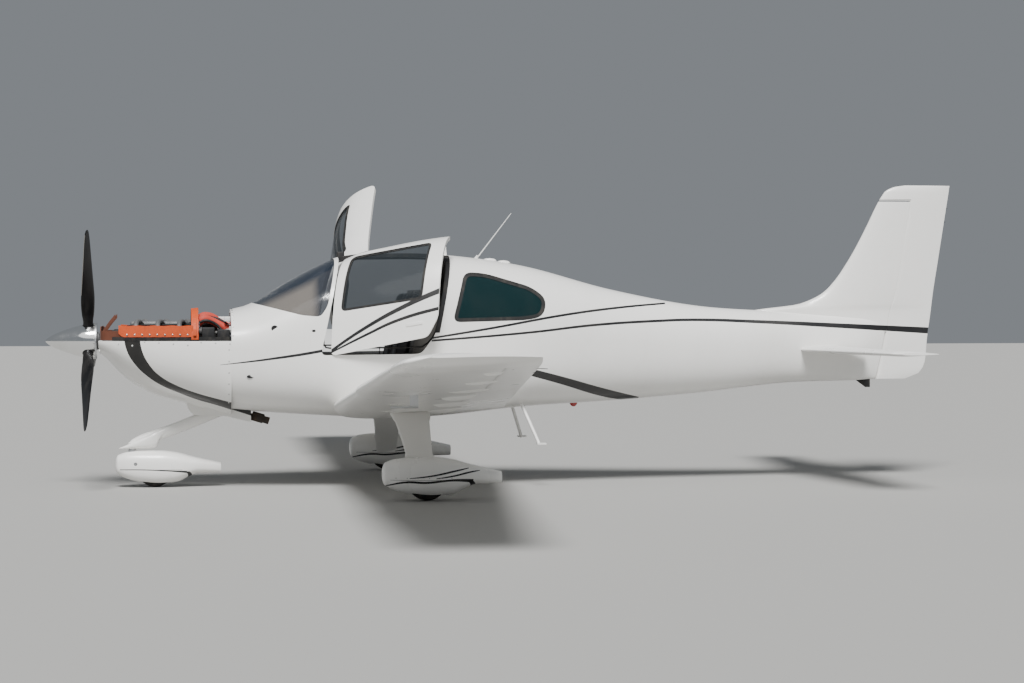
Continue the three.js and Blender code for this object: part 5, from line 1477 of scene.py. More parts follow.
def build_stabilizer():
    rows = STABILIZER_SECTIONS
    rings = []
    for y in [-v for v in spread(1960, 1880, 14)] + [-v for v in spread(1880, 0, 150)][1:] \
            + spread(0, 1880, 150)[1:] + spread(1880, 1960, 14)[1:]:
        width = abs(y)
        source = rows[:2] if width <= 1880 else rows[1:]
        t = (width - source[0][0]) / (source[1][0] - source[0][0])
        bend = t if width <= 1880 else t * t
        _, front, rear, z, ratio = [p + (q - p) * bend for p, q in zip(source[0], source[1])]
        chord = rear - front
        rings.append([(front + along * chord, y, z + offset) for along, offset, _ in foil(chord, ratio, 0)])
    whole = loft("stabilizer_skin", rings)
    fixed = copy_of(whole, "horizontal_stabilizer_skin")
    carve(fixed, box("root", 6860, 7200, -ELEVATOR_ROOT - 8, ELEVATOR_ROOT + 8, 1000, 1300))
    tube_end = ELEVATOR_ROOT + 20
    elevator = rod("elevator_skin", (ELEVATOR_HINGE, -tube_end, STABILIZER_Z),
                   (ELEVATOR_HINGE, tube_end, STABILIZER_Z), 20)
    for side in (-1, 1):
        start = (ELEVATOR_HINGE, side * ELEVATOR_ROOT, STABILIZER_Z)
        end = (ELEVATOR_HINGE, side * 2000, STABILIZER_Z)
        line = (start, end) if side > 0 else (end, start)
        radii = (30, 16) if side > 0 else (16, 30)
        near, far = HORN_ROOT - MOVING_GAP, 2100
        carve(fixed, hinge_zone("clear", *line, radii, MOVING_GAP, MOVING_GAP))
        carve(fixed, box("horn", 6500, ELEVATOR_HINGE + 30, min(side * near, side * far),
                         max(side * near, side * far), STABILIZER_Z - 90, STABILIZER_Z + 90))
        zone = hinge_zone("own", *line, radii, 0, 0)
        horn = box("horn", 6500, ELEVATOR_HINGE + 30, min(side * HORN_ROOT, side * far),
                   max(side * HORN_ROOT, side * far), STABILIZER_Z - 90, STABILIZER_Z + 90)
        zone = carve(zone, horn, "UNION")
        surface = carve(copy_of(whole, "surface"), zone, "INTERSECT")
        elevator = carve(elevator, surface, "UNION")
    bpy.data.objects.remove(whole)
    finish(fixed, "white", ["horizontal_stabilizer"])
    finish(elevator, "white", ["elevator"], body="elevator")


def rudder_hinge_at(z):
    return (RUDDER_FOOT[0] + RUDDER_LEAN * (z - RUDDER_FOOT[1]), 0, z)


def build_fin():
    fin_rings = []
    for z in (spread(880, 1478, 50) + spread(1478, 1700, 14)[1:] + spread(1700, 2540, 60)[1:]
              + spread(2540, 2600, 6)[1:]):
        _, front, rear, thick = read_table(FIN_SECTIONS, z, gentle=True)
        chord = rear - front
        fin_rings.append([(front + along * chord, offset, z)
                          for along, offset, _ in foil(chord, thick / chord, 0)])
    fin = loft("vertical_fin_skin", fin_rings)
    rudder = copy_of(fin, "rudder_skin")
    foot, head = rudder_hinge_at(884), rudder_hinge_at(2520)
    carve(fin, hinge_zone("clear", foot, head, RUDDER_NOSE, MOVING_GAP, 60))
    carve(fin, box("horn", 7000, 8000, -90, 90, RUDDER_HORN_Z - 12, 2700))
    carve(fin, box("span", 6000, 7700, -90, 90, 1300, 2700), "INTERSECT")
    own = hinge_zone("own", foot, head, RUDDER_NOSE, 0, 40)
    own = carve(own, box("horn", 7000, 8000, -90, 90, RUDDER_HORN_Z, 2700), "UNION")
    carve(rudder, own, "INTERSECT")
    finish(fin, "body", ["vertical_fin"])
    finish(rudder, "body", ["rudder"], body="rudder")


# Undercarriage

def pant_ring(wheel, side, x, inset, count=48):
    _, top, bottom, half = read_table(PANT_SECTIONS, x, gentle=True)
    shrink = 1.0
    if x < PANT_NOSE_ROUNDING:
        shrink = sqrt(max(1 - (1 - x / PANT_NOSE_ROUNDING) ** 2, 0.0004))
        _, top, bottom, half = read_table(PANT_SECTIONS, PANT_NOSE_ROUNDING, gentle=True)
    high, low = top * wheel["scale"], bottom * wheel["scale"]
    ring = []
    middle, reach = (high + low) / 2, (high - low) / 2 - inset
    for c, s in circle(count):
        y = (half * wheel["girth"] - inset) * shrink * signed_power(s, PANT_SQUARENESS)
        z = middle + reach * shrink * signed_power(c, PANT_SQUARENESS)
        ring.append((wheel["pant"] + x * wheel["stretch"], side * wheel["y"] + y, z))
    return ring


def build_pant(name, node, wheel, side, body):
    marks = [36 * (1 - cos(pi / 2 * k / 7)) for k in range(7)] + spread(36, 946, 18)
    shell = loft(name, [pant_ring(wheel, side, x, 0) for x in marks])
    inner = loft("hollow", [pant_ring(wheel, side, x, 8) for x in spread(40, 860, 30)])
    carve(shell, inner)
    half = wheel["width"] / 2 + 9
    reach = wheel["radius"] * 0.94
    y = side * wheel["y"]
    front, rear = wheel["x"] - reach, wheel["x"] + reach
    slot = round_outline([[front, y - half], [rear, y - half], [rear, y + half], [front, y + half]], 50)
    carve(shell, loft("slot", [[(x, yy, z) for x, yy in slot] for z in (-10, 94)]))
    if body == "nose_fork":
        carve(shell, rod("lug_holes", (742, -200, 200), (742, 200, 200), 14))
    finish(shell, "nose_fairing" if body == "nose_fork" else "main_fairing", [node], body=body)
    seam = []
    scale = wheel["scale"]
    for x in spread(60, 600, 20):
        ring = pant_ring(wheel, side, x, -0.4)
        height = 170 * scale - 0.01 * x
        near = min((p for p in ring if (p[1] - y) * side > 0), key=lambda p: abs(p[2] - height))
        seam.append((near[0], near[1], height))
    for direction in (1, -1):
        path = [(x, y + direction * abs(py - y), z) for x, py, z in seam]
        strip = tube(f"{name}_seam_{'outer' if direction == side else 'inner'}", smooth_path(path, 3), 1.2, 8)
        finish(strip, "gap", body=body, angle=60)
    screws = []
    for place in spaced([(x, y + side * abs(py - y), z + 16) for x, py, z in seam], 88):
        screws.append((tuple(place), (0, side, 0.1)))
    repeat(f"{name}_screws", "heads", screws, "steel", body=body, head_radius=0.0042, head_height=0.0012)


def build_wheel(name, wheel, side, body):
    """Tyre with ribbed tread, and rim halves with bolts."""
    radius, half = wheel["radius"], wheel["width"] / 2
    bead = radius * 0.46
    outer = [[bead + 1, half * 0.6], [bead + 6, half * 0.74], [radius * 0.62, half * 0.94],
             [radius * 0.76, half * 0.99], [radius * 0.86, half * 0.93], [radius * 0.92, half * 0.78],
             [radius * 0.965, half * 0.6]]
    tread = []
    edge = half * 0.5
    ribs = 5
    for k in range(ribs):
        a = edge - 2 * edge * k / ribs
        b = a - 2 * edge / ribs
        crown = radius * 0.994
        tread += [[crown, a - 1.2], [crown + 0.004 * radius, (a + b) / 2], [crown, b + 1.2]]
        if k < ribs - 1:
            tread += [[crown - 4, b + 0.8], [crown - 4, b - 0.8]]
    profile = outer + tread + [[r, -a] for r, a in reversed(outer)]
    centre = (wheel["x"], side * wheel["y"], radius)
    tyre = turned(f"{name}_tyre_tread", profile, centre, (0, 1, 0), 72)
    finish(tyre, "tyre", [f"{name}_tyre"], body=body, angle=35)
    rim = [[20.5, half * 0.66], [34, half * 0.68], [38, half * 0.5], [bead - 16, half * 0.34],
           [bead - 9, half * 0.52], [bead - 1, half * 0.6], [bead, half * 0.56], [bead - 3, half * 0.3],
           [bead - 3, -half * 0.3],
           [bead, -half * 0.56], [bead - 1, -half * 0.6], [bead - 9, -half * 0.52], [bead - 16, -half * 0.34],
           [38, -half * 0.5], [34, -half * 0.68], [20.5, -half * 0.66]]
    hub = turned(f"{name}_rim_halves", rim, centre, (0, 1, 0), 48)
    finish(hub, "alloy", [f"{name}_rim"], body=body, angle=35)
    bolts = []
    for k in range(6):
        angle = pi * k / 3
        r = (bead + 22) / 2
        for face in (-1, 1):
            place = (centre[0] + r * cos(angle), centre[1] + face * half * 0.43,
                     radius + r * sin(angle))
            bolts.append((place, (0, face, 0)))
    repeat(f"{name}_rim_bolts", "heads", bolts, "steel", body=body, head_radius=0.006, head_height=0.006)


def leg_ring(row, side, count=24):
    z, y, front, rear, thick = row
    chord = rear - front
    return [(front + along * chord, side * y + offset, z)
            for along, offset, _ in foil(chord, thick / chord, 0, count)]


def build_main_gear(side, name):
    """Leg with its two cuffs, fairing, wheel and brake disc of one side."""
    rows = [read_table(MAIN_LEG_SECTIONS, z, gentle=True) for z in spread(790, 160, 35)]
    leg = loft(f"{name}_leg_skin", [leg_ring(row, side) for row in rows])
    axle_inner, axle_outer = side * (MAIN_WHEEL["y"] - 112), side * (MAIN_WHEEL["y"] + 84)
    x, radius = MAIN_WHEEL["x"], MAIN_WHEEL["radius"]
    axle = rod("axle", (x, axle_inner, radius), (x, axle_outer, radius), 19)
    carve(leg, axle, "UNION")
    carve(leg, wing_body("wing", side))
    finish(leg, "white", [f"{name}_gear_leg"], slot="white_metal")
    cuff = []
    for z in spread(600, 660, 12):
        row = read_table(MAIN_LEG_SECTIONS, z, gentle=True)
        swell = 6 + 10 * (z - 600) / 60
        row = [row[0], row[1], row[2] - swell, row[3] + swell, row[4] + swell]
        cuff.append(leg_ring(row, side))
    finish(loft(f"{name}_leg_cuff", cuff), "white")
    foot = []
    for z in spread(318, 352, 8):
        row = read_table(MAIN_LEG_SECTIONS, z, gentle=True)
        swell = 14 * (352 - z) / 34
        row = [row[0], row[1], row[2] - swell, row[3] + swell, row[4] + swell * 1.3]
        foot.append(leg_ring(row, side))
    finish(loft(f"{name}_leg_foot_fairing", foot), "white")
    build_pant(f"{name}_pant_skin", f"{name}_wheel_fairing", MAIN_WHEEL, side, "airframe")
    build_wheel(f"{name}_main", MAIN_WHEEL, side, f"{name}_main_wheel")
    brake_y = side * (MAIN_WHEEL["y"] - 58)
    disc = turned(f"{name}_brake_disc", [[22, -3], [66, -3], [68, -1], [68, 1], [66, 3], [22, 3]],
                  (x, brake_y, radius), (0, 1, 0), 48)
    finish(disc, "steel", body=f"{name}_main_wheel", angle=35)


def build_nose_gear():
    stations = [read_table(NOSE_LEG_SECTIONS, x, gentle=True) for x in
                spread(678, 712, 6) + spread(712, 1530, 30)[1:]]
    rings = []
    for x, z, deep, wide in stations:
        rings.append([(x, wide * s, z + deep * c) for c, s in circle(32)])
    leg = loft("nose_leg_skin", rings)
    carve(leg, rod("boss", (CASTER_X, 0, 320), (CASTER_X, 0, 380), 32), "UNION")
    carve(leg, rod("pin", (CASTER_X, 0, 232), (CASTER_X, 0, 360), 12), "UNION")
    carve(leg, block("flange", (1514, -84, 690), (1535.7, 84, 830), 6), "UNION")
    finish(leg, "white", ["nose_gear_leg"], slot="white_metal")
    cuff = []
    for x in spread(604, 985, 12):
        _, high, low, wide = read_table(NOSE_CUFF, x, gentle=True)
        middle, half = (high + low) / 2, (high - low) / 2
        cuff.append([(x, wide * signed_power(s, 0.8), middle + half * signed_power(c, 0.8))
                     for c, s in circle(36)])
    finish(loft("nose_leg_foot_fairing", cuff), "white", angle=50)
    build_pant("nose_pant_skin", "nose_wheel_fairing", NOSE_WHEEL, 1, "nose_fork")
    build_wheel("nose", NOSE_WHEEL, 1, "nose_wheel")
    rings = []
    for side in (-1, 1):
        rings.append(turned("ring", [[13, -4], [19, -4], [20, 0], [19, 3], [13, 3]], (742, side * 92, 200),
                            (0, side, 0), 24))
    finish(join("tow_lug_collars", rings), "plastic", body="nose_fork", angle=40)


# Propeller, spinner, engine and cowl

def blade_directions(degrees):
    """Outwards along the blade and round in its plane."""
    lean = radians(degrees)
    return Vector((0, sin(lean), cos(lean))), Vector((0, cos(lean), -sin(lean)))


def blade(name, degrees, grow=0.0):
    out, around = blade_directions(degrees)
    centre = Vector((BLADE_PLANE, 0, SHAFT_Z))
    marks = spread(88, 940, 22) + [946, 952, 958, 962, 965]
    rings = []
    for distance in marks:
        _, chord, thick, pitch = read_table(BLADE_SECTIONS, distance, gentle=True)
        angle = radians(pitch)
        along = around * cos(angle) + AFT * sin(angle)
        across = AFT * cos(angle) - around * sin(angle)
        ring = []
        for i in range(28):
            turn = 2 * pi * i / 28
            bulge = 1.0 if distance < 200 else 0.82 + 0.18 * cos(turn)
            ring.append(centre + out * distance + along * ((chord / 2 + grow) * cos(turn))
                        + across * ((thick / 2 * bulge + grow) * sin(turn)))
        rings.append(ring)
    return loft(name, rings)


def build_propeller():
    blades = [blade("blade", angle) for angle in BLADE_ANGLES]
    hub = turned("hub", [[0.01, -62], [88, -62], [96, -54], [96, 54], [88, 62], [0.01, 62]],
                 (BLADE_PLANE, 0, SHAFT_Z), (1, 0, 0), 48)
    whole = blades[0]
    for piece in blades[1:] + [hub]:
        carve(whole, piece, "UNION")
    whole.name = "propeller_blades"
    finish(whole, "black_paint", ["propeller"], body="propeller")
    guards = []
    for degrees in BLADE_ANGLES:
        out, around = blade_directions(degrees)
        path = []
        for distance in spread(420, 935, 30):
            _, chord, _, pitch = read_table(BLADE_SECTIONS, distance, gentle=True)
            angle = radians(pitch)
            along = around * cos(angle) + AFT * sin(angle)
            path.append(Vector((BLADE_PLANE, 0, SHAFT_Z)) + out * distance - along * (chord / 2 - 1.5))
        guards.append(tube("guard", path, 2.4, 8))
    finish(join("blade_edge_guards", guards), "steel", body="propeller", angle=60)
    build_spinner()


def build_spinner():
    smooth = [[max(p.x, 0.01), p.y] for p in smooth_path([(r, x, 0) for r, x in SPINNER_PROFILE], 8)]
    cone = turned("spinner_shell", smooth + [[148, 424], [0.01, 424]], (0, 0, SHAFT_Z), (1, 0, 0), 96)
    carve(cone, turned("room", [[0.01, -60], [99, -60], [99, 60], [0.01, 60]], (BLADE_PLANE, 0, SHAFT_Z),
                       (1, 0, 0), 48))
    for degrees in BLADE_ANGLES:
        carve(cone, blade("hole", degrees, 5))
    finish(cone, "polished", ["spinner"], body="propeller")
    band = turned("spinner_back_band", [[151, -16], [152.6, -15], [153, -3], [152, 0], [149, 0], [149, -16]],
                  (424, 0, SHAFT_Z), (1, 0, 0), 96)
    finish(band, "alloy", body="propeller")
    screws = []
    for k in range(24):
        angle = 2 * pi * (k + 0.5) / 24
        out = Vector((0, cos(angle), sin(angle)))
        screws.append((Vector((402, 0, SHAFT_Z)) + out * 150.6, out))
    repeat("spinner_screws", "heads", screws, "steel", body="propeller", head_radius=0.0045,
           head_height=0.0014)


def build_engine():
    case = [block("case", (640, -112, 1012), (1298, 112, 1330), 26, 4)]
    case.append(block("sump", (700, -84, 960), (1240, 84, 1020), 20, 3))
    case.append(turned("nose", [[0.01, 0], [74, 0], [74, 16], [52, 24], [46, 190], [90, 218], [0.01, 222]],
                       (424.5, 0, SHAFT_Z), (1, 0, 0), 40))
    heads = []
    fins = []
    for side, stations in CYLINDER_STATIONS.items():
        for x in stations:
            case.append(rod("barrel", (x, side * 100, CYLINDER_Z), (x, side * 292, CYLINDER_Z), 58))
            heads.append(block("head", (x - 74, min(side * 286, side * 366), CYLINDER_Z - 68),
                               (x + 74, max(side * 286, side * 366), CYLINDER_Z + 72), 18, 3))
            heads.append(block("cover", (x - 58, min(side * 330, side * 371), CYLINDER_Z - 60),
                               (x + 58, max(side * 330, side * 371), CYLINDER_Z - 4), 14, 3))
            fins += [((x, side * y, CYLINDER_Z), (0, side, 0)) for y in range(124, 286, 9)]
    finish(join("engine_case", case), "casting", ["engine"], angle=40)
    finish(join("cylinder_heads", heads), "casting", angle=40)
    repeat("cylinder_fins", "fins", fins, "casting", fin_radius=0.074, fin_thickness=0.0022)


def build_engine_top():
    """Intake tubes, ignition leads, plug caps and bolts."""
    tubes = []
    leads = []
    caps = []
    for side, stations in CYLINDER_STATIONS.items():
        for x in stations:
            intake = [(x + 10, side * 330, CYLINDER_Z + 66), (x + 16, side * 318, 1352),
                      (x + 20, side * 240, 1390), (x + 40, side * 120, 1398), (x + 60, side * 46, 1376)]
            tubes.append(tube("intake", smooth_path(intake, 7), 21, 14))
            for offset in (-46, 34):
                lead = [(x + offset, side * 300, CYLINDER_Z + 74), (x + offset, side * 296, 1350),
                        (x + offset * 0.4, side * 200, 1366), (1150 + offset * 0.4, side * 84, 1372),
                        (1210, side * 62, 1350)]
                leads.append(tube("lead", smooth_path(lead, 7), 4.5, 8))
                caps.append(((x + offset, side * 300, CYLINDER_Z + 76), (0, side * 0.2, 1)))
    spine = block("plenum", (700, -52, 1352), (1180, 52, 1402), 22, 4)
    finish(join("intake_tubes", tubes + [spine]), "casting", angle=50)
    finish(join("ignition_leads", leads), "plastic", angle=60)
    repeat("spark_plug_caps", "heads", caps, "steel", head_radius=0.009, head_height=0.018)
    case_bolts = [((x, side * 60, 1331), (0, 0, 1)) for side in (-1, 1) for x in range(670, 1290, 48)]
    repeat("crankcase_bolts", "heads", case_bolts, "steel", head_radius=0.007, head_height=0.008)


def build_engine_accessories():
    extras = [rod("alternator", (470, -196, 1180), (610, -196, 1180), 52),
              block("pump", (1240, -60, 1100), (1340, 60, 1190), 12),
              rod("magneto", (1240, -90, 1310), (1340, -90, 1310), 42),
              rod("magneto2", (1240, 90, 1310), (1340, 90, 1310), 42),
              rod("filter", (1300, 130, 1180), (1420, 130, 1180), 46)]
    finish(join("engine_accessories", extras), "casting", angle=45)


def build_ducts_and_hoses():
    ducts = []
    for y, z, sag, size in AIR_DUCTS:
        path = smooth_path([(1262, y, z - 30), (1310, y - 6, z + sag), (1380, y + 20, z - sag),
                            (1460, y + 30, z - 50), (1528, y + 20, z - 84)], 12)
        ducts.append(tube("duct", path, size, 20, ribs=3.0))
    finish(join("cabin_air_ducts", ducts), "red_duct", angle=60)
    hoses = []
    for run in HOSE_RUNS:
        hoses.append(tube("hose", smooth_path(run, 8), 11, 12))
    finish(join("engine_hoses", hoses), "plastic", angle=60)
    fittings = []
    for run in HOSE_RUNS:
        for a, b in ((run[0], run[1]), (run[-1], run[-2])):
            start = Vector(a)
            along = (Vector(b) - start).normalized()
            fittings.append(rod("fitting", start, start + along * 26, 15, sides=6))
    finish(join("hose_fittings", fittings), "alloy", angle=30)


def build_bay_boxes():
    """Boxes, bottle and shrouds between the aft baffle and the firewall, and the muff below."""
    muff = turned("exhaust_muff", [[24, 0], [36, 0], [40, 6], [40, 96], [36, 104], [24, 104]],
                  (1712, -124, 603), (1856 - 1700, 0, 556 - 603), 36)
    finish(muff, "exhaust", angle=40)
    hinge = block("roof_hinge_block", (2440, -58, 1938), (2502, 58, 1992), 8)
    finish(hinge, "plastic", angle=40)
    dark = [block("relay_box", (1292, -345, 1246), (1400, -250, 1352), 10),
            block("controller", (1420, -350, 1246), (1524, -262, 1334), 8),
            rod("coolant_bottle", (1330, 300, 1246), (1330, 300, 1392), 46),
            rod("cap", (1330, 300, 1388), (1330, 300, 1410), 22),
            block("filter_box", (1300, -200, 1250), (1420, -60, 1380), 16),
            block("shroud", (1290, 60, 1250), (1430, 220, 1372), 16),
            block("left_duct", (548, -372, 1242), (648, -270, 1330), 18),
            block("right_duct", (548, 270, 1242), (648, 372, 1330), 18)]
    finish(join("bay_boxes", dark), "plastic", angle=40)
    boxes = [block("battery", (1420, -60, 1330), (1528, 120, 1438), 8),
             block("relay", (1478, -300, 1400), (1528, -230, 1440), 6),
             block("tank", (1440, 330, 1290), (1528, 420, 1400), 16)]
    finish(join("firewall_boxes", boxes), "mark", angle=40)


def build_inlet_seals():
    seals = []
    for side in (-1, 1):
        strip = [(640, side * 402, 1300), (560, side * 392, 1296), (500, side * 372, 1288),
                 (470, side * 340, 1292), (462, side * 250, 1330), (470, side * 150, 1338),
                 (480, side * 112, 1330)]
        path = smooth_path(strip, 6)
        rings = []
        for i, point in enumerate(path):
            high = 56 if point.y * side > 300 else 34
            before, after = path[max(i - 1, 0)], path[min(i + 1, len(path) - 1)]
            normal = (after - before).normalized().cross(Vector((0, 0, 1))).normalized() * 4
            low = Vector((point.x, point.y, 1246 if point.y * side > 240 else point.z - 46))
            top = Vector((point.x, point.y, low.z + 54 + high * 0.4))
            rings.append([low - normal, low + normal, top + normal, top - normal])
        seals.append(loft("front_seal", rings))
        seals.append(loft("diagonal", [[(x, side * 300 + dy, z + dz) for dy, dz in
                                        ((-5, -18), (5, -18), (6, 18), (-4, 18))]
                                       for x, z in ((468, 1290), (500, 1336), (540, 1392), (584, 1444))]))
    # The front seals and their diagonal take the darker orange, which is painted shade
    finish(join("front_inlet_seals", seals), "burnt_orange", angle=50)


def build_baffle_flaps():
    """Loose orange flaps along both sides and over the arch, with their bolts."""
    flaps = []
    chafe = []
    for side in (-1, 1):
        rings = []
        for x in spread(612, 1240, 22):
            wave = 2.5 * sin(x / 23)
            low = 1272 + max(0, 642 - x)
            rings.append([(x, side * (406 + wave), low), (x, side * (411 + wave), low),
                          (x, side * (408 + wave), 1366 + wave), (x, side * (403 + wave), 1366 + wave)])
        flaps.append(loft("flap", rings))
        chafe.append(box("chafe", 560, 1520, *sorted((side * 404, side * 409)), 1241, 1273))
    rings = []
    for k in range(49):
        angle = -pi / 2 + pi * k / 48
        wave = 2.0 * sin(k * 1.7)
        ring = []
        for x, out in ((1206, 8), (1264 + wave, 14), (1264 + wave, 20), (1206, 14)):
            ring.append((x, (BAFFLE_Y + out) * signed_power(sin(angle), 0.8),
                         1250 + (244 + out) * signed_power(cos(angle), 0.8)))
        rings.append(ring)
    flaps.append(loft("arch", rings))
    finish(join("baffle_seal_flaps", flaps), "orange", angle=50)
    finish(join("cowl_chafe_strips", chafe), "rubber", angle=50)
    bolts = []
    for side in (-1, 1):
        bolts += [((x, side * 411, 1290), (0, side, 0)) for x in range(680, 1200, 62)]
    arch = []
    for k in range(1, 12):
        angle = -pi / 2 + pi * k / 12
        y = BAFFLE_Y * 0.98 * signed_power(sin(angle), 0.8)
        arch.append(((BAFFLE_REAR + 15, y, 1262 + 208 * signed_power(cos(angle), 0.8)), (1, 0, 0)))
    repeat("baffle_seal_bolts", "heads", bolts + arch, "steel", head_radius=0.008, head_height=0.003)


def build_cowl():
    shell = loft("lower_cowl_skin", [body_ring(COWL_SECTIONS, x, 0) for x in spread(446, 1532.7, 30)])
    slotted(shell, 2)
    inner = loft("inner", [body_ring(COWL_SECTIONS, x, 13) for x in spread(470, 1532.7, 30)]
                 + [[(1560, y, z) for _, y, z in body_ring(COWL_SECTIONS, 1532.7, 13)]])
    carve(shell, paint_faces(slotted(inner, 2), 1))
    carve(shell, box("lower", 400, 1600, -700, 700, 400, 1240), "INTERSECT")
    carve(shell, rod("nose_hole", (430, 0, SHAFT_Z), (500, 0, SHAFT_Z), 96, sides=48))
    for side in (-1, 1):
        carve(shell, rod("inlet", (430, side * 218, 1244), (520, side * 218, 1244), 92, sides=48))
    carve(shell, box("outlet", 1430, 1600, -190, 190, 500, 680))
    lip = side_prism("lip", [(1300, 700), (1340, 640), (1702, 553), (1702, 760), (1300, 800)], -216, 216)
    hollow = [(1290, 740), (1350, 651), (1712, 564), (1712, 780), (1290, 800)]
    carve(lip, side_prism("hollow", hollow, -204, 204))
    collar = [(1160, 716), (1186, 650), (1222, 610), (1300, 600), (1480, 596), (1500, 640), (1500, 740),
              (1160, 740)]
    carve(lip, side_prism("collar", collar, -62, 62), "UNION")
    carve(lip, loft("body", [body_ring(COWL_SECTIONS, x, 12) for x in spread(898, 1532.7, 60)]))
    carve(lip, fuselage_body("body", -0.3, 1533, 2300))
    carve(shell, lip, "UNION")
    rings = []
    for x, z, deep, wide in NOSE_LEG_SECTIONS:
        rings.append([(x, (wide + 4) * s, z + (deep + 4) * c) for c, s in circle(24)])
    carve(shell, loft("leg_room", rings))
    finish(shell, ["cowl", "primer"], ["lower_cowl"], angle=30)


def build_cowl_fasteners():
    screws = []
    for side in (-1, 1):
        line = []
        for x in spread(560, 1520, 40):
            ring = body_ring(COWL_SECTIONS, x, 0)
            near = min((p for p in ring if p[1] * side > 0), key=lambda p: abs(p[2] - 1216))
            line.append(near)
        screws += [(tuple(p), (0, side, 0)) for p in spaced(line, 118)]
    rear = [p for p in body_ring(COWL_SECTIONS, 1512, 0) if p[2] < 1230]
    rear = sorted(rear, key=lambda p: atan2(p[1], -(p[2] - 1180)))
    screws += [(tuple(p), (0, p.y, (p.z - 1180))) for p in spaced(rear, 96)]
    repeat("cowl_fasteners", "heads", screws, "tube", head_radius=0.0075, head_height=0.0016)
    flange = [p for p in body_ring(FUSELAGE_SECTIONS, 1546, 0) if p[2] > 1240]
    flange = sorted(flange, key=lambda p: atan2(p[1], p[2] - 1180))
    upper = [(tuple(p), (0, p.y, (p.z - 1180))) for p in spaced(flange, 84)]
    repeat("cowl_flange_fasteners", "heads", upper, "steel", head_radius=0.0075, head_height=0.0016)


def build_side_vents():
    shell = bpy.data.objects["fuselage_shell"]
    tree = BVHTree.FromObject(shell, bpy.context.evaluated_depsgraph_get())
    vents = []
    rims = []
    for x, z, long, high in SIDE_VENTS:
        for side in (-1, 1):
            place, _, _, _ = tree.ray_cast(station((x, side * 900, z)), Vector((0, -side, 0)))
            y = place.y * 1000
            outline = [(x + long * c, z + high * s) for c, s in circle(24)]
            rim = [(px, y + side * 1.0 - side * abs(px - x) * 0.06, pz) for px, pz in outline]
            rims.append(tube("rim", rim, 2.4, 8, closed=True))
            # Each vent is a dark plate a little proud of the skin, painted shade in place of the hollow
            # behind the opening
            vents.append(loft("vent",
                              [[(px, y + side * depth, pz) for px, pz in outline] for depth in (-6, 1.2)]))
    finish(join("side_vents", vents), "gap", angle=40)
    finish(join("side_vent_rims", rims), "plastic", angle=60)


def build_roof_domes():
    bumps = []
    for x in (3760, 3880):
        z = read_table(FUSELAGE_SECTIONS, x)[1]
        profile = []
        for dx in spread(-60, 60, 10):
            share = sqrt(max(1 - (dx / 62) ** 2, 0.01))
            profile.append([(x + dx, 26 * share * cos(a), z - 6 + 24 * share * sin(a))
                            for a in [pi * k / 10 for k in range(11)]])
        bumps.append(loft("bump", profile))
    finish(join("roof_antenna_domes", bumps), "white", angle=60)


def build_fin_cap_seam():
    height = 2474
    _, front, rear, thick = read_table(FIN_SECTIONS, height, gentle=True)
    chord = rear - front
    ring = [(front + along * chord, offset * 1.01, height)
            for along, offset, _ in foil(chord, thick / chord, 0) if front + along * chord < 7560]
    seam = tube("fin_cap_seam", ring, 1.3, 6)
    finish(seam, "gap", angle=60)


def hinge_fairing(side, y, start, end, step, half_width, depth, sunk):
    """A slim blister below the wing, from its front to its rear end."""
    rings = []
    for x in spread(start, end, step):
        t = (x - start) / (end - start)
        share = sqrt(max(1 - (2 * t - 1) ** 2, 0.004))
        low = wing_skin(y, x, -1)
        rings.append([(x, side * y + half_width * share * cos(a),
                       low + sunk - depth * share * sin(a))
                      for a in [pi * k / 12 for k in range(13)]])
    return loft("fairing", rings)


def build_wing_details():
    """Hinge fairings, fuel caps and the plates below the wings."""
    fairings = []
    caps = []
    plates = []
    plate_screws = []
    for side in (-1, 1):
        for y, start, end in FLAP_FAIRINGS:
            fairings.append(hinge_fairing(side, y, start, end, 20, 15, 34, 4))
        for y in AILERON_FAIRINGS:
            fairings.append(hinge_fairing(side, y, 2960, wing_edge(y) - 210, 16, 9, 20, 3))
        x, y = 2700, 2240
        z = wing_skin(y, x, 1)
        caps.append(turned("cap", [[0.01, -2], [38, -2], [40, 0.5], [38, 2], [20, 2.4], [0.01, 2.6]],
                           (x, side * y, z), (-0.02, -side * 0.09, 1), 40))
        for x, y, r in INSPECTION_PLATES:
            z = wing_skin(y, x, -1)
            direction = Vector((0.02, side * 0.09, -1)).normalized()
            plates.append(turned("plate", [[0.01, -3], [r, -3], [r, 0.6], [r - 2, 1.6], [0.01, 1.8]],
                                 (x, side * y, z), direction, 40))
            across = direction.orthogonal().normalized()
            other = direction.cross(across)
            for k in range(8):
                a = 2 * pi * k / 8
                out = across * cos(a) + other * sin(a)
                spot = Vector((x, side * y, z)) + direction * 1.8 + out * (r - 9)
                plate_screws.append((spot, direction))
    finish(join("hinge_fairings", fairings), "white", angle=50)
    finish(join("fuel_caps", caps), "alloy", angle=40)
    finish(join("inspection_plates", plates), "white", angle=40)
    repeat("inspection_plate_screws", "heads", plate_screws, "steel", head_radius=0.0035, head_height=0.0012)


def build_tip_lights():
    for side, name, lens in ((-1, "left", "red_lens"), (1, "right", "green_lens")):
        rings = []
        for x in spread(2470, 2640, 10):
            t = (x - 2470) / 170
            y = 5795 - 10 * (1 - t)
            share = sqrt(max(1 - (2 * t - 1) ** 2, 0.02))
            z = 1216 + 8 * t
            rings.append([(x, side * (y + 16 * share * sin(a)), z + 17 * share * cos(a))
                          for a in [2 * pi * k / 16 for k in range(16)]])
        finish(loft(f"{name}_tip_light", rings), lens, angle=60)


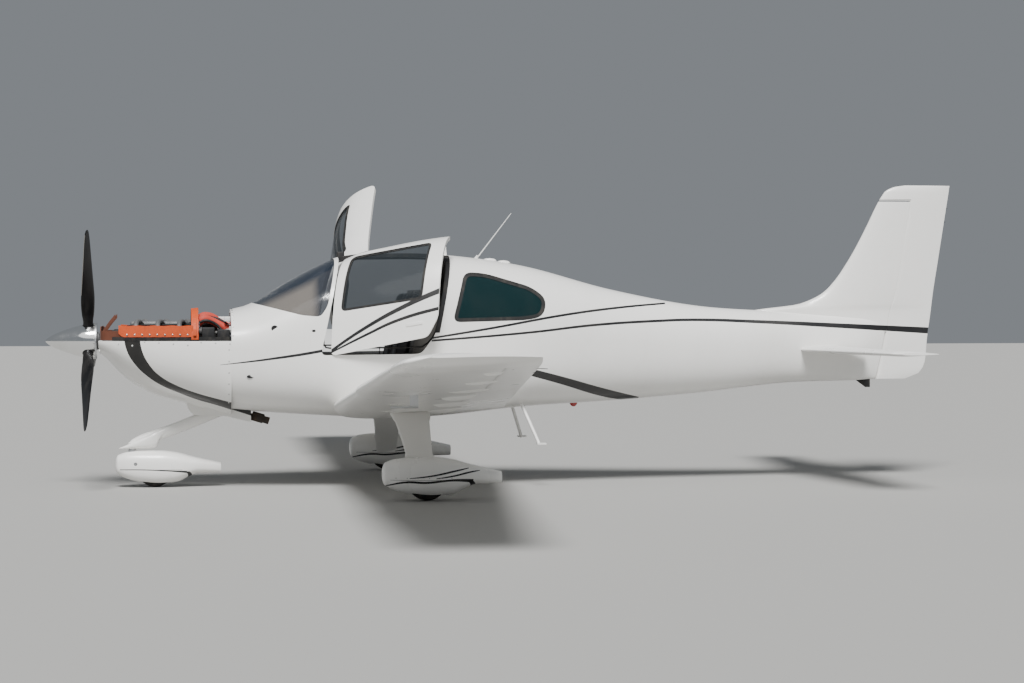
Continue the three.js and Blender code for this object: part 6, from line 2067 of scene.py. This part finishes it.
def build_static_wicks():
    wicks = {"left_aileron": [], "right_aileron": [], "elevator": [], "rudder": []}
    for side, name in SIDES:
        for y in (4900, 5300):
            x = wing_edge(y)
            z = wing_skin(y, x - 4, 1)
            wicks[f"{name}_aileron"].append(tube("wick", [(x - 26, side * y, z - 4),
                                                          (x + 60, side * y, z - 8)], 2.2, 6))
        for y in (1500, 1760):
            wicks["elevator"].append(tube("wick", [(7080, side * y, STABILIZER_Z),
                                                   (7180, side * y, STABILIZER_Z - 4)],
                                          2.2, 6))
    for z in (2280, 2400):
        edge = read_table(FIN_SECTIONS, z, gentle=True)[2]
        wicks["rudder"].append(tube("wick", [(edge - 40, 0, z), (edge + 14, 0, z - 4)], 2.2, 6))
    for body, pieces in wicks.items():
        finish(join(f"{body}_static_wicks", pieces), "plastic", body=body, angle=60)


def build_beacon():
    light = turned("belly_beacon", [[0.01, 0], [34, 0], [34, 8], [26, 24], [12, 34], [0.01, 36]],
                   (4500, 0, read_table(FUSELAGE_SECTIONS, 4500)[2] + 2), (0, 0, -1), 32)
    finish(light, "red_lens", angle=60)


def dress_kept_nodes():
    """Better finishes for the CAD pieces whose shape is already right."""
    choices = {
        "alloy": ["firewall", "pitot_tube", "nose_fork"],
        "exhaust": ["exhaust_pipe"],
        "casting": ["engine_baffles"],
        "orange": ["baffle_seals"],
        "tube": ["engine_mount"],
        "carpet": ["cabin_floor", "aft_bulkhead"],
        "trim": ["instrument_panel", "centre_console"],
        "seat": ["left_front_seat", "right_front_seat", "rear_seat"],
        "white": ["left_step", "right_step", "blade_antenna"],
        "mark": ["whip_antenna"],
        "rubber": ["tail_skid"],
    }
    for name, nodes in choices.items():
        for node in nodes:
            NODES[node].data.materials.clear()
            NODES[node].data.materials.append(FINISH[name])


# Studio

def build_studio():
    mesh = bpy.data.meshes.new("floor")
    mesh.from_pydata([(-60, -60, -0.002), (60, -60, -0.002), (60, 60, -0.002), (-60, 60, -0.002)], [],
                     [(0, 1, 2, 3)])
    floor = bpy.data.objects.new("floor", mesh)
    bpy.context.scene.collection.objects.link(floor)
    plain = bpy.data.materials.new("pale_floor")
    plain.use_nodes = True
    plain.node_tree.nodes["Principled BSDF"].inputs["Base Color"].default_value = FLOOR_COLOR
    plain.node_tree.nodes["Principled BSDF"].inputs["Roughness"].default_value = 0.9
    mesh.materials.append(plain)
    world = bpy.data.worlds.new("studio")
    bpy.context.scene.world = world
    world.use_nodes = True
    world.node_tree.nodes["Background"].inputs["Color"].default_value = SKY_COLOR
    world.node_tree.nodes["Background"].inputs["Strength"].default_value = SKY_STRENGTH
    for name, (direction, strength, spread_angle) in SUNS.items():
        data = bpy.data.lights.new(name, "SUN")
        data.energy = strength
        data.angle = radians(spread_angle)
        lamp = bpy.data.objects.new(name, data)
        bpy.context.scene.collection.objects.link(lamp)
        lamp.rotation_euler = Vector(direction).to_track_quat("-Z", "Y").to_euler()
    camera_data = bpy.data.cameras.new("camera")
    camera_data.lens = CAMERA_LENS
    camera_data.sensor_width = 36
    camera_data.clip_end = 300
    camera = bpy.data.objects.new("camera", camera_data)
    bpy.context.scene.collection.objects.link(camera)
    camera.location = CAMERA_PLACE
    camera.rotation_euler = (Vector(CAMERA_AIM) - Vector(CAMERA_PLACE)).to_track_quat("-Z", "Y").to_euler()
    bpy.context.scene.camera = camera


build_studio()
build_fuselage()
build_door(-1, "left")
build_door(1, "right")
build_cabin_trim()
build_displays()
build_sticks_and_pedals()
build_glare_shield()
build_seats()
build_wing()
build_stabilizer()
build_fin()
build_main_gear(-1, "left")
build_main_gear(1, "right")
build_nose_gear()
build_propeller()
build_engine()
build_engine_top()
build_engine_accessories()
build_ducts_and_hoses()
build_bay_boxes()
build_inlet_seals()
build_baffle_flaps()
build_cowl()
build_cowl_fasteners()
build_side_vents()
build_roof_domes()
build_fin_cap_seam()
build_wing_details()
build_tip_lights()
build_static_wicks()
build_beacon()
dress_kept_nodes()
